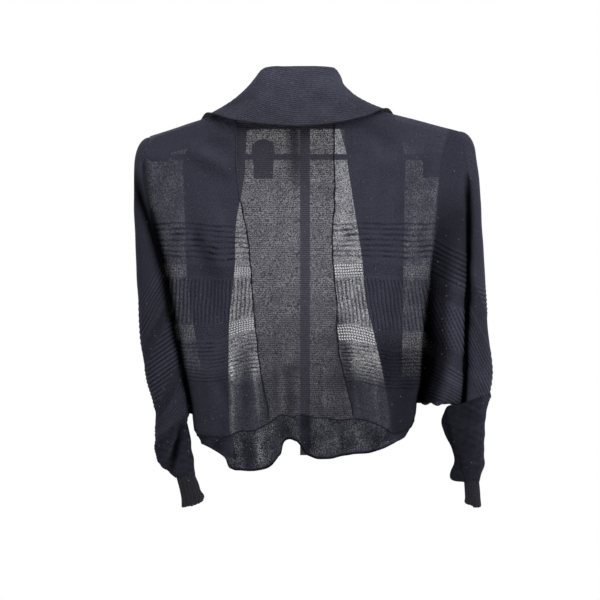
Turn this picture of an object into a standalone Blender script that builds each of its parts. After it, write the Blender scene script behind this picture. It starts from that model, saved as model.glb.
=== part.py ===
"""A batwing cardigan in fine knit, hanging filled out on a clip hanger, for Blender 4.5.

Run it with: blender --background --python part.py

The origin is the lower end of the hanger's post. +Z is up, the cardigan's back faces -Y and its open front
+Y. +X is the wearer's right. The tables below are in millimetres, a row for each height or section, and the
objects are built in metres.
"""

import math

import bmesh
import bpy
import numpy as np

# Driving dimensions, in millimetres
WALL = 1.5
SEAM_GAP = 0.5
FOLD_FLOOR = 4.0
RIDGE_HEIGHT = 0.9
ROLL_HEIGHT = 1.6
NECK_HEIGHT = 421.0
NECK_DIP = 2.0

# Rows and columns of the cloth
BODY_COLUMNS = 6
POUCH_COLUMNS = 5
SLEEVE_COLUMNS = 6
PANEL_COLUMNS = 12
HEM_ROWS = 3
STAND_STEPS = 3
TURN_STEPS = 3
FALL_STEPS = 6
LAPEL_SECTIONS = 10
PANEL_ROWS = 21
LOWER_BODY_ROWS = 3
ROD_SIDES = 20
DOME_STEPS = 8

# Heights of the knitted ridges on the wings: first, last and how many
UPPER_RIDGES = (290.0, 250.0, 4)
LOWER_RIDGES = (146.0, 106.0, 6)
TOP_ROWS = (405, 402, 396, 386, 370, 348, 318)
RIBBED_ROWS = (225, 198, 172)
PLAIN_ROWS = (92, 78)

# Lines that run down the left wing, as rows of (height, x). Each starts on the shoulder line.
LEFT_LINES = {
    "seam": ((439, -93), (421, -89), (358, -86), (324, -82), (275, -72), (241, -69), (197, -66), (159, -62),
             (105, -56), (50, -46), (20, -44)),
    "edge": ((439, -93), (410, -85), (373, -77), (335, -81), (312, -86), (291, -89), (243, -90), (171, -97),
             (103, -98), (20, -97)),
    "side": ((405, -196), (378, -200), (368, -202), (305, -193), (235, -176), (184, -167), (133, -158),
             (89, -149), (63, -144), (32, -141), (18, -133), (0, -128)),
    "sleeve": ((403, -198), (378, -205), (368, -206), (305, -197), (235, -180), (184, -171), (133, -162),
               (89, -153), (63, -148), (52, -146.5)),
    "outer": ((366, -217), (324, -217), (260, -215), (197, -212), (139, -208), (93, -200), (67, -193),
              (30, -190)),
}

# The same lines on the right wing, where the cloth under the arm hangs as a pouch between two folds
RIGHT_LINES = {
    "seam": ((451, 42), (425, 38), (378, 37), (314, 37), (288, 35), (223, 37), (194, 40), (150, 41),
             (120, 45), (95, 51), (70, 57), (50, 61), (20, 64)),
    "edge": ((451, 42), (418, 44), (382, 53), (353, 58), (321, 63), (257, 73), (187, 81), (149, 90),
             (103, 100), (20, 112)),
    "side": ((415, 182), (378, 172), (300, 164), (200, 154), (150, 151), (113, 148), (90, 146), (66, 142),
             (54, 141), (44, 139), (36, 135), (28, 130), (18, 124), (0, 120)),
    "pouch_in": ((414, 186), (378, 176), (300, 168), (200, 158), (150, 156), (113, 153), (90, 151),
                 (65, 145)),
    "pouch_out": ((412, 193), (378, 201), (350, 203), (235, 205), (150, 202), (100, 201), (66, 199)),
    "sleeve": ((411, 196), (378, 205), (350, 207), (235, 209), (150, 206), (100, 205), (67, 203)),
    "outer": ((378, 217), (352, 221), (324, 223), (268, 226), (215, 229), (169, 232), (131, 236), (105, 238),
              (86, 236), (60, 231)),
}

# Heights at which the sleeves part from the body, at the fold beside the body and at the outer edge
UNDERARM = {"left": (52, 22), "right": (66, 80)}
BODY_PART_HEIGHT = 62
CROWN_DROP = 11.0
CLOSING_START = 0.86
CORNER_PART = 0.12

# Half depth of the cloth, front to back, by height
DEPTH_COLUMNS = ("height", "back", "front", "sleeve", "pouch")
DEPTHS = (
    (451, 14, 14, 14, 14),
    (405, 17, 17, 15, 15),
    (368, 24, 25, 19, 20),
    (324, 30, 31, 23, 26),
    (260, 35, 36, 26, 30),
    (197, 38, 39, 27, 31),
    (133, 40, 41, 26, 31),
    (90, 42, 42, 24, 29),
    (50, 43, 42, 21, 24),
    (-30, 44, 42, 18, 20),
)

# How deep the folds beside the sleeves are, from none to full, by height
LEFT_FOLD = ((378, 0.0), (366, 0.75), (330, 1.0))
RIGHT_SLEEVE_FOLD = ((360, 0.0), (330, 0.7), (260, 1.0))
RIGHT_SIDE_FOLD = ((290, 0.0), (230, 0.35), (160, 1.0))

# Rings of the forearms from the underarm down: inner x and height, outer x and height, and half depth
LEFT_RINGS = (
    (-149.5, 43, -190, 8, 22),
    (-149, 38, -188.5, -1, 20.5),
    (-148, 34, -187, -7, 18),
    (-146, 27, -184, -11.5, 15),
    (-145, 22, -180, -16.5, 13),
    (-144, 16, -176, -19.5, 12.5),
    (-143, 8, -172.5, -21.7, 12.5),
    (-141, -8, -168, -24.7, 13),
    (-138.5, -28, -164, -28, 13),
)
RIGHT_RINGS = (
    (193, 64, 236, 74, 19),
    (182, 62.8, 233, 67, 17),
    (176, 54, 231, 56, 16),
    (174, 43, 229, 41, 16),
    (177, 27, 227.5, 23, 17),
    (187, 5, 227, 4, 16),
    (189.5, -6, 227, -11, 15),
    (184.5, -29, 223, -29, 13),
    (201, -34, 222, -34, 14),
)

# Rings of the cuffs: middle x, height, half width, half depth
LEFT_CUFF = (
    (-151.5, -28.5, 12.5, 13.0),
    (-148, -37, 12.8, 13.0),
    (-145.5, -46, 12.8, 13.5),
    (-142.5, -54, 14.2, 15.0),
    (-143, -62, 13.5, 16.5),
)
RIGHT_CUFF = (
    (211.5, -34.4, 9.7, 14.0),
    (212.5, -45, 9.6, 14.5),
    (213, -54, 9.6, 15.0),
    (213, -60, 10.2, 16.5),
    (213.5, -63, 10.0, 17.5),
)

# The hem seam and the hem's lower edge across the back, as rows of (x, height)
HEM_SEAM = ((-150, 25), (-128, 24), (-100, 25), (-84, 31), (-67, 32), (-47, 41), (-28, 52), (-18, 49),
            (-5, 52), (13, 48), (27, 48), (42, 45), (60, 47), (84, 42), (97, 37), (110, 31), (121, 27),
            (150, 40))
HEM_EDGE = ((-150, 28), (-135, 19), (-126, 14), (-118, 9), (-110, 4), (-104, -1), (-100, -6), (-98, -12),
            (-92, -17), (-81, -18.5), (-60, -18.5), (-51, -16.5), (-43, -11.5), (-37, -6.5), (-33, -1),
            (-29, 4), (-27, 12), (-24, 18), (-19, 21), (-14, 19.5), (-8, 17), (-4, 13), (-2, 9), (1, 3), (8, -1.5),
            (14, -3.5), (24, -4), (36, -3), (43, -1), (60, 2), (84, 4), (97, 8.5), (108, 14), (117, 19),
            (123, 24), (128, 29), (132, 34), (135, 39), (150, 50))
FRONT_HEM_SEAM = ((-140, 26), (-97, 34), (112, 40), (140, 44))
FRONT_HEM_EDGE = ((-140, 20), (-97, -4), (112, 12), (140, 38))

# Folds of the back, as rows of top x, top height, bottom x, bottom height, width and depth (a trough is minus)
BACK_FOLDS = (
    (-66, 190, -74, 40, 7, 3.5),
    (-56, 130, -52, 30, 6, -4.0),
    (-44, 150, -40, 20, 7, 4.5),
    (-26, 120, -23, 20, 6, -6.0),
    (-12, 170, -10, 20, 7, 4.0),
    (4, 110, 2, 10, 6, -4.5),
    (30, 190, 58, 45, 7, 5.0),
    (100, 150, 92, 40, 9, -4.0),
    (-112, 190, -116, 30, 9, 4.0),
    (-150, 330, -110, 180, 11, -3.5),
    (120, 340, 96, 170, 11, -3.5),
)

# Sections of the shawl collar round the neck, from the centre back to the top of each opening edge: x, y and
# height of its seam, of its fold and of its outer edge
CENTRE_BACK = (-14, -15.8, 421.7, -6, -22, 493, -8, -40, 416.5)
LEFT_COLLAR = (
    (-50, -15.8, 420.9, -28, -22, 493, -50, -39, 419),
    (-84, -15.6, 422.2, -46, -17, 491.5, -94, -32, 425.5),
    (-89.6, -14.3, 433, -55, -6, 484, -116, -20, 432),
    (-92, 2, 444, -61, 7, 470, -127, 6, 431),
    (-91, 18.5, 430, -69, 24, 448, -138, 26, 412),
    (-86, 24, 400, -74, 30, 404, -150, 33, 388),
)
RIGHT_COLLAR = (
    (8, -15.8, 423.2, 17, -22, 493, 34, -39, 420),
    (33, -15.6, 426, 33, -17, 491.5, 76, -33, 429),
    (39, -14.3, 439, 40, -6, 485, 97, -21, 437.5),
    (42, 2, 456, 45, 7, 474, 108, 6, 436),
    (44, 18.5, 438, 49, 24, 452, 118, 26, 417),
    (56, 24, 402, 50, 30, 406, 125, 33, 390),
)
COLLAR_STEPS = 2
LAPEL_TOP = 372
LAPEL_BOTTOM = {"left": 7, "right": 28}
LAPEL_REACH = {
    "left": ((372, -155), (200, -146), (100, -130), (0, -116)),
    "right": ((372, 127), (200, 124), (100, 122), (0, 117)),
}
LAPEL_FACING = 12.0
LAPEL_FOLD_SET = 3.0
LAPEL_LIFT = {"seam": 4.2, "fold": 4.6, "edge": 9.6}
FOLD_RADIUS = 1.9
FALL_BULGE = 2.6
FLARE_DROP = (0.62, 0.50)
FLARE_SPAN = (-90.0, 40.0)
FLARE_REACH = 0.04
FLARE_FROM = (395.0, 425.0)

# The hanger
ARM_DEPTH = 16.0
ARM_ROUND = 3.0
ARM_TOP = ((-204, 388), (-190, 404), (-93, 436), (-60, 441), (0, 443), (45, 447), (182, 406), (202, 391))
ARM_END = {"left": -207.0, "right": 210.0}
ARM_LOWER = ((182, 388), (133, 396), (50, 414), (-66, 414), (-159, 387), (-170, 384))
ARM_FOOT = 373.0
TIP_SET = 3.5
TIP_HEIGHT = 379.0
SOLE_SET = 12.0
HEEL_SET = 6.0
HEEL_HEIGHT = 378.0
POST_RADIUS = 6.25
POST_TOP = 413.7
BAR_RADIUS = 3.75
BAR_HEIGHT = 378.5
BAR_ENDS = (-169.7, 181.7)
FIT_GAP = 0.3
CLIP_DEPTH = 17.0
CLIPS = {"left": (-53.0, 30.0, 25.0, 401.0, 351.0), "right": (161.5, 26.0, 23.0, 385.0, 353.0)}
CLIP_SHOULDER = 381.0
JAW_TOP = 369.0
CLIP_ROUND = 1.5

MM = 0.001


def between(table, where):
    """A smooth curve through a table's rows of (place, value), read at the places given."""
    rows = np.array(sorted(table), float)
    place, value = rows[:, 0], rows[:, 1]
    slope = np.gradient(value, place)
    where = np.clip(where, place[0], place[-1])
    i = np.clip(np.searchsorted(place, where) - 1, 0, len(place) - 2)
    step = place[i + 1] - place[i]
    t = (where - place[i]) / step
    smooth = t * t * (3 - 2 * t)
    bend = t * (1 - t) * step
    curve = value[i] + (value[i + 1] - value[i]) * smooth
    return curve + bend * ((1 - t) * slope[i] - t * slope[i + 1])


def steady(table, where):
    """Straight lines between a table's rows of (place, value)."""
    rows = np.array(sorted(table), float)
    return np.interp(where, rows[:, 0], rows[:, 1])


def depth(column, height):
    """The half depth of the cloth at a height, from a named column of the depth table."""
    index = DEPTH_COLUMNS.index(column)
    return between([(row[0], row[index]) for row in DEPTHS], height)


def arch(t, power=2.6):
    """The height of a rounded arch over t from -1 to 1."""
    return np.clip(1 - np.abs(t) ** power, 0, 1) ** (1 / power)


def body_middle(height):
    """The middle of the body between its two side lines."""
    return (steady(LEFT_LINES["side"], height) + steady(RIGHT_LINES["side"], height)) / 2


def body_half(height):
    """Half the body's width between its two side lines."""
    return (steady(RIGHT_LINES["side"], height) - steady(LEFT_LINES["side"], height)) / 2


def fold_relief(x, height):
    """How far the folds lift or sink the back of the cloth at a place."""
    relief = np.zeros(np.broadcast(x, height).shape)
    for top_x, top_z, low_x, low_z, width, lift in BACK_FOLDS:
        t = np.clip((top_z - height) / (top_z - low_z), 0, 1)
        away = (x - (top_x + (low_x - top_x) * t)) / width
        relief = relief + lift * np.sin(t * math.pi / 2) ** 1.5 * np.exp(-away * away)
    return relief


def opening_share(height, fold):
    """How much of the fold beside a sleeve is open at a height."""
    return np.clip(steady(fold, height), 0, 1)


def body_depth(x, height, layer):
    """How far the back or the front of the body lies from the middle plane."""
    t = np.clip((x - body_middle(height)) / body_half(height), -1, 1)
    fold = LEFT_FOLD if layer_side(x, height) < 0 else RIGHT_SIDE_FOLD
    share = opening_share(height, fold)
    full = depth(layer, height)
    lobe = FOLD_FLOOR + (full - FOLD_FLOOR) * arch(t)
    reach = lobe * share + full * (1 - share)
    if layer == "back":
        reach = reach + fold_relief(x, height) * arch(t)
    return reach


def layer_side(x, height):
    """-1 to the left of the body's middle and 1 to its right."""
    return -1 if x < body_middle(height) else 1


def spread(start, end, count):
    """Values of t for an arch from start to 1, closer together as the arch falls."""
    first = math.asin(np.clip(start, -1, 1))
    last = math.asin(np.clip(end, -1, 1))
    return [math.sin(first + (last - first) * i / count) for i in range(count + 1)]


def ridge_rows(first, last, count):
    """Heights of the crests and the hollows of a band of ridges, with True on the crests."""
    step = (first - last) / (2 * count)
    return [(first - step * i, i % 2 == 1) for i in range(2 * count + 1)]


def row_heights():
    """The heights of the rows of a wing on the body, with True on the crest of a ridge."""
    top = [(z, False) for z in TOP_ROWS]
    upper = ridge_rows(*UPPER_RIDGES)
    middle = [(z, False) for z in RIBBED_ROWS]
    lower = ridge_rows(*LOWER_RIDGES)
    low = [(z, False) for z in PLAIN_ROWS]
    return top + upper + middle + lower + low + [(BODY_PART_HEIGHT, False)]


class Sheet:
    """A sheet of cloth without thickness: points, four-sided faces, raised ribs and fixed normals."""

    def __init__(self):
        self.points = []
        self.raised = []
        self.normals = {}
        self.faces = []

    def add(self, point, raised=0.0, normal=None):
        """Adds a point and returns its number."""
        self.points.append(point)
        self.raised.append(raised)
        if normal is not None:
            self.normals[len(self.points) - 1] = normal
        return len(self.points) - 1

    def quilt(self, rows, flip=False):
        """Adds the faces between rows of point numbers."""
        for upper, lower in zip(rows, rows[1:]):
            for i in range(len(upper) - 1):
                face = [upper[i], lower[i], lower[i + 1], upper[i + 1]]
                self.faces.append(face[::-1] if flip else face)

    def wall(self, thickness=WALL):
        """The points and faces of a closed wall round the sheet, its ribs on the outer side only."""
        points = np.array(self.points, float)
        faces = np.array(self.faces)
        corners = points[faces]
        normal = np.cross(corners[:, 2] - corners[:, 0], corners[:, 3] - corners[:, 1])
        sums = np.zeros_like(points)
        for k in range(4):
            np.add.at(sums, faces[:, k], normal)
        for number, fixed in self.normals.items():
            sums[number] = fixed
        sums /= np.linalg.norm(sums, axis=1)[:, None]
        outer = points + sums * (thickness / 2 + np.array(self.raised))[:, None]
        inner = points - sums * thickness / 2
        edges = {}
        for face in self.faces:
            for a, b in zip(face, face[1:] + face[:1]):
                edges[(a, b)] = True
        count = len(points)
        rim = [[b, a, a + count, b + count] for a, b in edges if (b, a) not in edges]
        inside = [[i + count for i in face[::-1]] for face in self.faces]
        return np.concatenate([outer, inner]), self.faces + inside + rim


def material(name, colour, roughness):
    """A Principled material of one colour."""
    made = bpy.data.materials.new(name)
    made.use_nodes = True
    shader = made.node_tree.nodes["Principled BSDF"]
    shader.inputs["Base Color"].default_value = (*colour, 1)
    shader.inputs["Roughness"].default_value = roughness
    shader.inputs["Metallic"].default_value = 0
    made.diffuse_color = (*colour, 1)
    return made


def place(collection, name, mesh, look):
    """Makes an object of a mesh, in the collection, with its material."""
    made = bpy.data.objects.new(name, mesh)
    mesh.materials.append(look)
    collection.objects.link(made)
    return made


def cloth(collection, name, sheet, look, thickness=WALL):
    """Makes an object of a sheet's wall."""
    points, faces = sheet.wall(thickness)
    mesh = bpy.data.meshes.new(name)
    mesh.from_pydata((points * MM).tolist(), [], faces)
    mesh.validate()
    mesh.shade_smooth()
    return place(collection, name, mesh, look)


def line_point(line, part):
    """The x and the height on a wing's line, at a part of the way from the shoulder to the underarm."""
    table, top, low = line
    height = top + (low - top) * part
    return between(table, height), height


def wing_lines(side):
    """The wing's lines with their heights on the shoulder line and at the underarm."""
    lines = LEFT_LINES if side == "left" else RIGHT_LINES
    inner, outer = UNDERARM[side]
    lows = {"outer": outer, "sleeve": inner + 1, "pouch_out": inner}
    found = {}
    for name, table in lines.items():
        found[name] = (table, table[0][0], lows.get(name, inner))
    return found


def lobe_points(start, end, count, full, floors):
    """Points across a lobe of cloth from one fold's floor to the next: x, height and depth."""
    rows = []
    for i in range(count + 1):
        t = (1 - math.cos(math.pi * i / count)) / 2
        x = start[0] + (end[0] - start[0]) * t
        z = start[1] + (end[1] - start[1]) * t
        floor = floors[0] + (floors[1] - floors[0]) * t
        rows.append((x, z, floor + (full - floor) * arch(2 * t - 1)))
    return rows


def closing(part):
    """From 1 to 0 as the cloth under the arm comes together at its lower edge."""
    return math.sqrt(max(0.0, 1 - max(0.0, (part - CLOSING_START) / (1 - CLOSING_START)) ** 2))


def crown(drop):
    """How far open the cloth is at a drop below the shoulder line, from 0 to 1."""
    t = min(1.0, drop / CROWN_DROP)
    return math.sqrt(max(0.0, 1 - (1 - t) ** 2))


def wing_row(side, part, layer):
    """One row of a wing, from its inner edge to the outer edge of the sleeve, as x, height and depth."""
    lines = wing_lines(side)
    sign = -1 if side == "left" else 1
    inner = line_point(lines["seam" if layer == "back" else "edge"], part)
    flank = line_point(lines["side"], part)
    sleeve = line_point(lines["sleeve"], part)
    outer = line_point(lines["outer"], part)
    middle, half = body_middle(flank[1]), body_half(flank[1])
    gap = SEAM_GAP / 2 * sign
    row = []
    for t in spread((inner[0] + gap - middle) / half, sign, BODY_COLUMNS):
        x = middle + t * half
        share = (x - inner[0]) / (flank[0] - inner[0])
        z = inner[1] + (flank[1] - inner[1]) * share
        drop = lines["side"][1] - flank[1]
        row.append((x, z, body_depth(x, z, layer) * crown(drop)))
    last = row[-1][2]
    if side == "right":
        pouch_in = line_point(lines["pouch_in"], part)
        pouch_out = line_point(lines["pouch_out"], part)
        open_side = opening_share(flank[1], RIGHT_SIDE_FOLD)
        open_sleeve = opening_share(flank[1], RIGHT_SLEEVE_FOLD)
        full = depth("pouch", pouch_in[1]) * crown(lines["side"][1] - flank[1])
        first_floor = last
        second_floor = FOLD_FLOOR * open_sleeve + full * (1 - open_sleeve)
        full = max(full, first_floor * (1 - open_side))
        lobe = lobe_points(pouch_in, pouch_out, POUCH_COLUMNS, full, (first_floor, second_floor))
        row += [(x, z, y * closing(part)) for x, z, y in lobe]
        last = second_floor
    full = depth("sleeve", sleeve[1]) * crown((lines["side"][1] - flank[1]) * 0.9)
    lobe = []
    for i in range(SLEEVE_COLUMNS + 1):
        t = (1 - math.cos(math.pi * i / SLEEVE_COLUMNS)) / 2
        round_corner = max(0.0, 1 - part / CORNER_PART)
        across = t + (math.sin(t * math.pi / 2) - t) * round_corner
        down = t + (1 - math.cos(t * math.pi / 2) - t) * round_corner
        x = sleeve[0] + (outer[0] - sleeve[0]) * across
        z = sleeve[1] + (outer[1] - sleeve[1]) * down
        fold = LEFT_FOLD if side == "left" else RIGHT_SLEEVE_FOLD
        share = opening_share(flank[1], fold)
        lobed = FOLD_FLOOR * (1 - t) + (full - FOLD_FLOOR * (1 - t)) * arch(2 * t - 1)
        whole = (last + (full - last) * t) * arch(t)
        y = lobed * share + whole * (1 - share)
        lobe.append((x, z, y))
    return row + lobe


def wing(collection, side, look):
    """A wing in one with its sleeve: two layers joined over the shoulder and down the sleeve's outer edge."""
    sheet = Sheet()
    side_column = BODY_COLUMNS
    sleeve_column = BODY_COLUMNS + 1 + (POUCH_COLUMNS + 1 if side == "right" else 0)
    top = wing_lines(side)["side"][1]
    low = wing_lines(side)["side"][2]
    layers = {"back": [], "front": []}
    heights = row_heights()
    for number, (height, crest) in enumerate(heights):
        part = np.clip((heights[0][0] - height) / (heights[0][0] - BODY_PART_HEIGHT), 0, 1)
        last_row = number == len(heights) - 1
        made = {}
        for layer, way in (("back", -1), ("front", 1)):
            row = []
            points = wing_row(side, part, layer)
            for column, (x, z, y) in enumerate(points):
                welded = number == 0 or column == len(points) - 1
                under = last_row and side_column <= column <= sleeve_column
                if (welded or under) and layer == "front":
                    row.append(made["back"][column])
                    continue
                ribbed = crest and 0 < column < side_column
                point = (x, 0.0 if welded or under else way * y, z)
                normal = (0, 0, -1) if under else None
                row.append(sheet.add(point, RIDGE_HEIGHT if ribbed else 0.0, normal))
            made[layer] = row
            layers[layer].append(row)
    flip = side == "left"
    sheet.quilt(layers["back"], flip)
    sheet.quilt(layers["front"], not flip)
    hem = add_lower_body(sheet, side, layers, side_column, flip)
    add_forearm(sheet, side, layers, sleeve_column, flip)
    cloth(collection, "wing_" + side, sheet, look)
    return hem


def hem_height(layer, x, table):
    """The height of the hem seam or of the hem's edge at an x."""
    tables = {("back", "seam"): HEM_SEAM, ("back", "edge"): HEM_EDGE}
    front = {"seam": FRONT_HEM_SEAM, "edge": FRONT_HEM_EDGE}
    return steady(tables.get((layer, table), front[table]), x)


def add_lower_body(sheet, side, layers, side_column, flip):
    """The rows of the body below the underarm, down to the hem seam. It returns the points on the seam."""
    made = {}
    steps = LOWER_BODY_ROWS
    sign = -1 if side == "left" else 1
    lines = LEFT_LINES if side == "left" else RIGHT_LINES
    for layer, way in (("back", -1), ("front", 1)):
        inner_line = lines["seam" if layer == "back" else "edge"]
        rows = [layers[layer][-1][: side_column + 1]]
        upper = [sheet.points[i] for i in rows[0]]
        for step in range(1, steps + 1):
            row = []
            for column, (x, y, z) in enumerate(upper):
                low = hem_height(layer, x, "seam") + SEAM_GAP / 2
                height = z + (low - z) * step / steps
                t = np.clip((x - body_middle(z)) / body_half(z), -1, 1)
                new_x = body_middle(height) + t * body_half(height)
                shift = between(inner_line, height) + sign * SEAM_GAP / 2 - body_middle(height)
                first_t = (upper[0][0] - body_middle(upper[0][2])) / body_half(upper[0][2])
                new_x += (shift - first_t * body_half(height)) * (sign - t) / (sign - first_t)
                if column == side_column and layer == "front":
                    row.append(made["back"][step][column])
                    continue
                on_side = column == side_column
                reach = 0.0 if on_side else way * body_depth(new_x, height, layer)
                row.append(sheet.add((new_x, reach, height)))
            rows.append(row)
        made[layer] = rows
        sheet.quilt(rows, flip if layer == "back" else not flip)
    return {layer: [sheet.points[i] for i in rows[-1]] for layer, rows in made.items()}


def add_forearm(sheet, side, layers, sleeve_column, flip):
    """The rings of the sleeve below the underarm, down to the cuff."""
    rings = LEFT_RINGS if side == "left" else RIGHT_RINGS
    made = {}
    for layer, way in (("back", -1), ("front", 1)):
        rows = [layers[layer][-1][sleeve_column:]]
        for number, (inner_x, inner_z, outer_x, outer_z, full) in enumerate(rings):
            row = []
            for i in range(SLEEVE_COLUMNS + 1):
                t = (1 - math.cos(math.pi * i / SLEEVE_COLUMNS)) / 2
                edge = i in (0, SLEEVE_COLUMNS)
                if edge and layer == "front":
                    row.append(made["back"][number + 1][i])
                    continue
                x = inner_x + (outer_x - inner_x) * t
                z = inner_z + (outer_z - inner_z) * t
                row.append(sheet.add((x, 0.0 if edge else way * full * arch(2 * t - 1, 2.2), z)))
            rows.append(row)
        made[layer] = rows
        sheet.quilt(rows, flip if layer == "back" else not flip)


def back_panel(collection, look):
    """The centre back between the two seams, from the neck to the hem seam."""
    sheet = Sheet()
    rows = []
    seams = (LEFT_LINES["seam"], RIGHT_LINES["seam"])
    for share in np.linspace(1, 0, PANEL_ROWS + 1):
        guess_z = NECK_HEIGHT * share + HEM_SEAM[8][1] * (1 - share)
        ends = [between(line, guess_z) for line in seams]
        row = []
        for column in range(PANEL_COLUMNS + 1):
            across = column / PANEL_COLUMNS
            guess = ends[0] + (ends[1] - ends[0]) * across
            top = NECK_HEIGHT + 4 * across - NECK_DIP * math.sin(math.pi * across)
            low = hem_height("back", guess, "seam") + SEAM_GAP / 2
            z = low + (top - low) * share
            left = between(seams[0], z) + SEAM_GAP / 2
            right = between(seams[1], z) - SEAM_GAP / 2
            x = left + (right - left) * across
            row.append(sheet.add((x, -body_depth(x, z, "back"), z)))
        rows.append(row)
    sheet.quilt(rows)
    cloth(collection, "back_panel", sheet, look)
    return [sheet.points[i] for i in rows[-1]]


def hem_band(collection, look, left, panel, right):
    """The hem's strip from one opening edge round the back to the other, under the hem seam's points."""
    back = left["back"][::-1] + panel[1:-1] + right["back"]
    seam = [("front", point) for point in left["front"][:-1]]
    seam += [("back", point) for point in back]
    seam += [("front", point) for point in right["front"][:-1][::-1]]
    sheet = Sheet()
    rows = []
    for step in range(HEM_ROWS + 1):
        row = []
        for layer, (seam_x, seam_y, seam_z) in seam:
            top = seam_z - SEAM_GAP
            t = np.clip((seam_x - body_middle(seam_z)) / body_half(seam_z), -1, 1)
            low = hem_height(layer, body_middle(0) + t * body_half(0), "edge")
            z = top + (low - top) * step / HEM_ROWS
            x = body_middle(z) + t * body_half(z)
            on_side = seam_y == 0
            way = -1 if layer == "back" else 1
            y = 0.0 if on_side else way * body_depth(x, z, layer)
            row.append(sheet.add((x, y, z), ROLL_HEIGHT if step == HEM_ROWS else 0.0))
        rows.append(row)
    sheet.quilt(rows)
    return cloth(collection, "hem_band", sheet, look)


def lapel_section(side, height):
    """A section of the collar band on the front: its seam, its fold and its outer edge."""
    line = LEFT_LINES["edge"] if side == "left" else RIGHT_LINES["edge"]
    sign = -1 if side == "left" else 1
    edge = between(line, height)
    reach = between(LAPEL_REACH[side], height)
    seam_x = edge + sign * min(LAPEL_FACING, 0.5 * abs(reach - edge))
    seam_y = body_depth(seam_x, height, "front") + LAPEL_LIFT["seam"]
    fold_x = edge - sign * LAPEL_FOLD_SET
    fold_y = body_depth(fold_x, height, "front") + LAPEL_LIFT["fold"]
    edge_y = body_depth(reach, height, "front") + LAPEL_LIFT["edge"]
    return (seam_x, seam_y, height, fold_x, fold_y, height, reach, edge_y, height)


def collar_sections():
    """All the sections of the shawl collar, from the left hem round the neck to the right hem."""
    sides = {}
    for side, neck in (("left", LEFT_COLLAR), ("right", RIGHT_COLLAR)):
        low = LAPEL_BOTTOM[side]
        step = (LAPEL_TOP - low) / LAPEL_SECTIONS
        lapel = [lapel_section(side, LAPEL_TOP - step * i) for i in range(LAPEL_SECTIONS + 1)]
        keys = np.array([CENTRE_BACK, *neck, lapel[0]], float)
        places = np.arange(len(keys))
        wanted = np.linspace(0, len(keys) - 1, (len(keys) - 1) * COLLAR_STEPS + 1)
        columns = [between(list(zip(places, keys[:, k])), wanted) for k in range(9)]
        sides[side] = [tuple(row) for row in np.array(columns).T] + lapel[1:]
    return sides["left"][::-1] + sides["right"][1:]


def section_points(section):
    """Points along a section of the collar, up from its seam, round the fold and down to its outer edge."""
    seam, fold, edge = (np.array(section[k : k + 3]) for k in (0, 3, 6))
    rise = (fold - seam) / np.linalg.norm(fold - seam)
    outward = (edge - seam) - rise * np.dot(edge - seam, rise)
    outward /= np.linalg.norm(outward)
    turn = fold - rise * FOLD_RADIUS
    points = [seam + (turn - seam) * i / STAND_STEPS for i in range(STAND_STEPS + 1)]
    for i in range(1, TURN_STEPS + 1):
        angle = math.pi * i / TURN_STEPS
        across = outward * FOLD_RADIUS * (1 - math.cos(angle))
        points.append(turn + across + rise * FOLD_RADIUS * math.sin(angle))
    start = points[-1]
    drop = rise * np.dot(edge - start, rise)
    corner = start + drop * np.interp(seam[0], FLARE_SPAN, FLARE_DROP) + (edge - start - drop) * FLARE_REACH
    flare = np.clip((seam[2] - FLARE_FROM[0]) / (FLARE_FROM[1] - FLARE_FROM[0]), 0, 1)
    for i in range(1, FALL_STEPS + 1):
        t = i / FALL_STEPS
        flat = start + (edge - start) * t + outward * FALL_BULGE * math.sin(math.pi * t)
        bent = start * (1 - t) ** 2 + corner * 2 * t * (1 - t) + edge * t * t
        points.append(flat + (bent - flat) * flare)
    return points


def shawl_collar(collection, look):
    """The folded band round the neck and down both opening edges."""
    sheet = Sheet()
    rows = []
    for section in collar_sections():
        rows.append([sheet.add(tuple(point)) for point in section_points(section)])
    sheet.quilt(rows)
    return cloth(collection, "shawl_collar", sheet, look)


def cuff(collection, side, look):
    """A short cuff with a rolled end."""
    sheet = Sheet()
    rings = LEFT_CUFF if side == "left" else RIGHT_CUFF
    count = 2 * SLEEVE_COLUMNS
    rows = []
    for x, z, half_width, half_depth in rings:
        row = []
        for i in range(count):
            angle = 2 * math.pi * i / count
            row.append(sheet.add((x + half_width * math.cos(angle), half_depth * math.sin(angle), z)))
        rows.append(row + row[:1])
    sheet.quilt(rows)
    return cloth(collection, "cuff_" + side, sheet, look)


def outline(collection, name, points, thick, edge_round, look):
    """A flat outline in the X-Z plane, made into a board of the thickness given."""
    curve = bpy.data.curves.new(name, "CURVE")
    curve.dimensions = "2D"
    curve.fill_mode = "BOTH"
    curve.extrude = (thick / 2 - edge_round) * MM
    curve.bevel_depth = edge_round * MM
    curve.offset = -edge_round * MM
    curve.bevel_resolution = 1
    spline = curve.splines.new("POLY")
    spline.points.add(len(points) - 1)
    spline.use_cyclic_u = True
    for point, (x, z) in zip(spline.points, points):
        point.co = (x * MM, z * MM, 0, 1)
    drawn = bpy.data.objects.new(name + "_outline", curve)
    collection.objects.link(drawn)
    drawn.rotation_euler = (math.pi / 2, 0, 0)
    bpy.context.view_layer.update()
    mesh = bpy.data.meshes.new_from_object(drawn.evaluated_get(bpy.context.evaluated_depsgraph_get()))
    mesh.transform(drawn.matrix_world)
    bpy.data.objects.remove(drawn)
    return weld(place(collection, name, mesh, look))


def weld(made):
    """Joins the loose caps of a curve's mesh to its sides."""
    shape = bmesh.new()
    shape.from_mesh(made.data)
    bmesh.ops.remove_doubles(shape, verts=shape.verts, dist=1e-5)
    bmesh.ops.recalc_face_normals(shape, faces=shape.faces)
    shape.to_mesh(made.data)
    shape.free()
    return made


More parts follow.
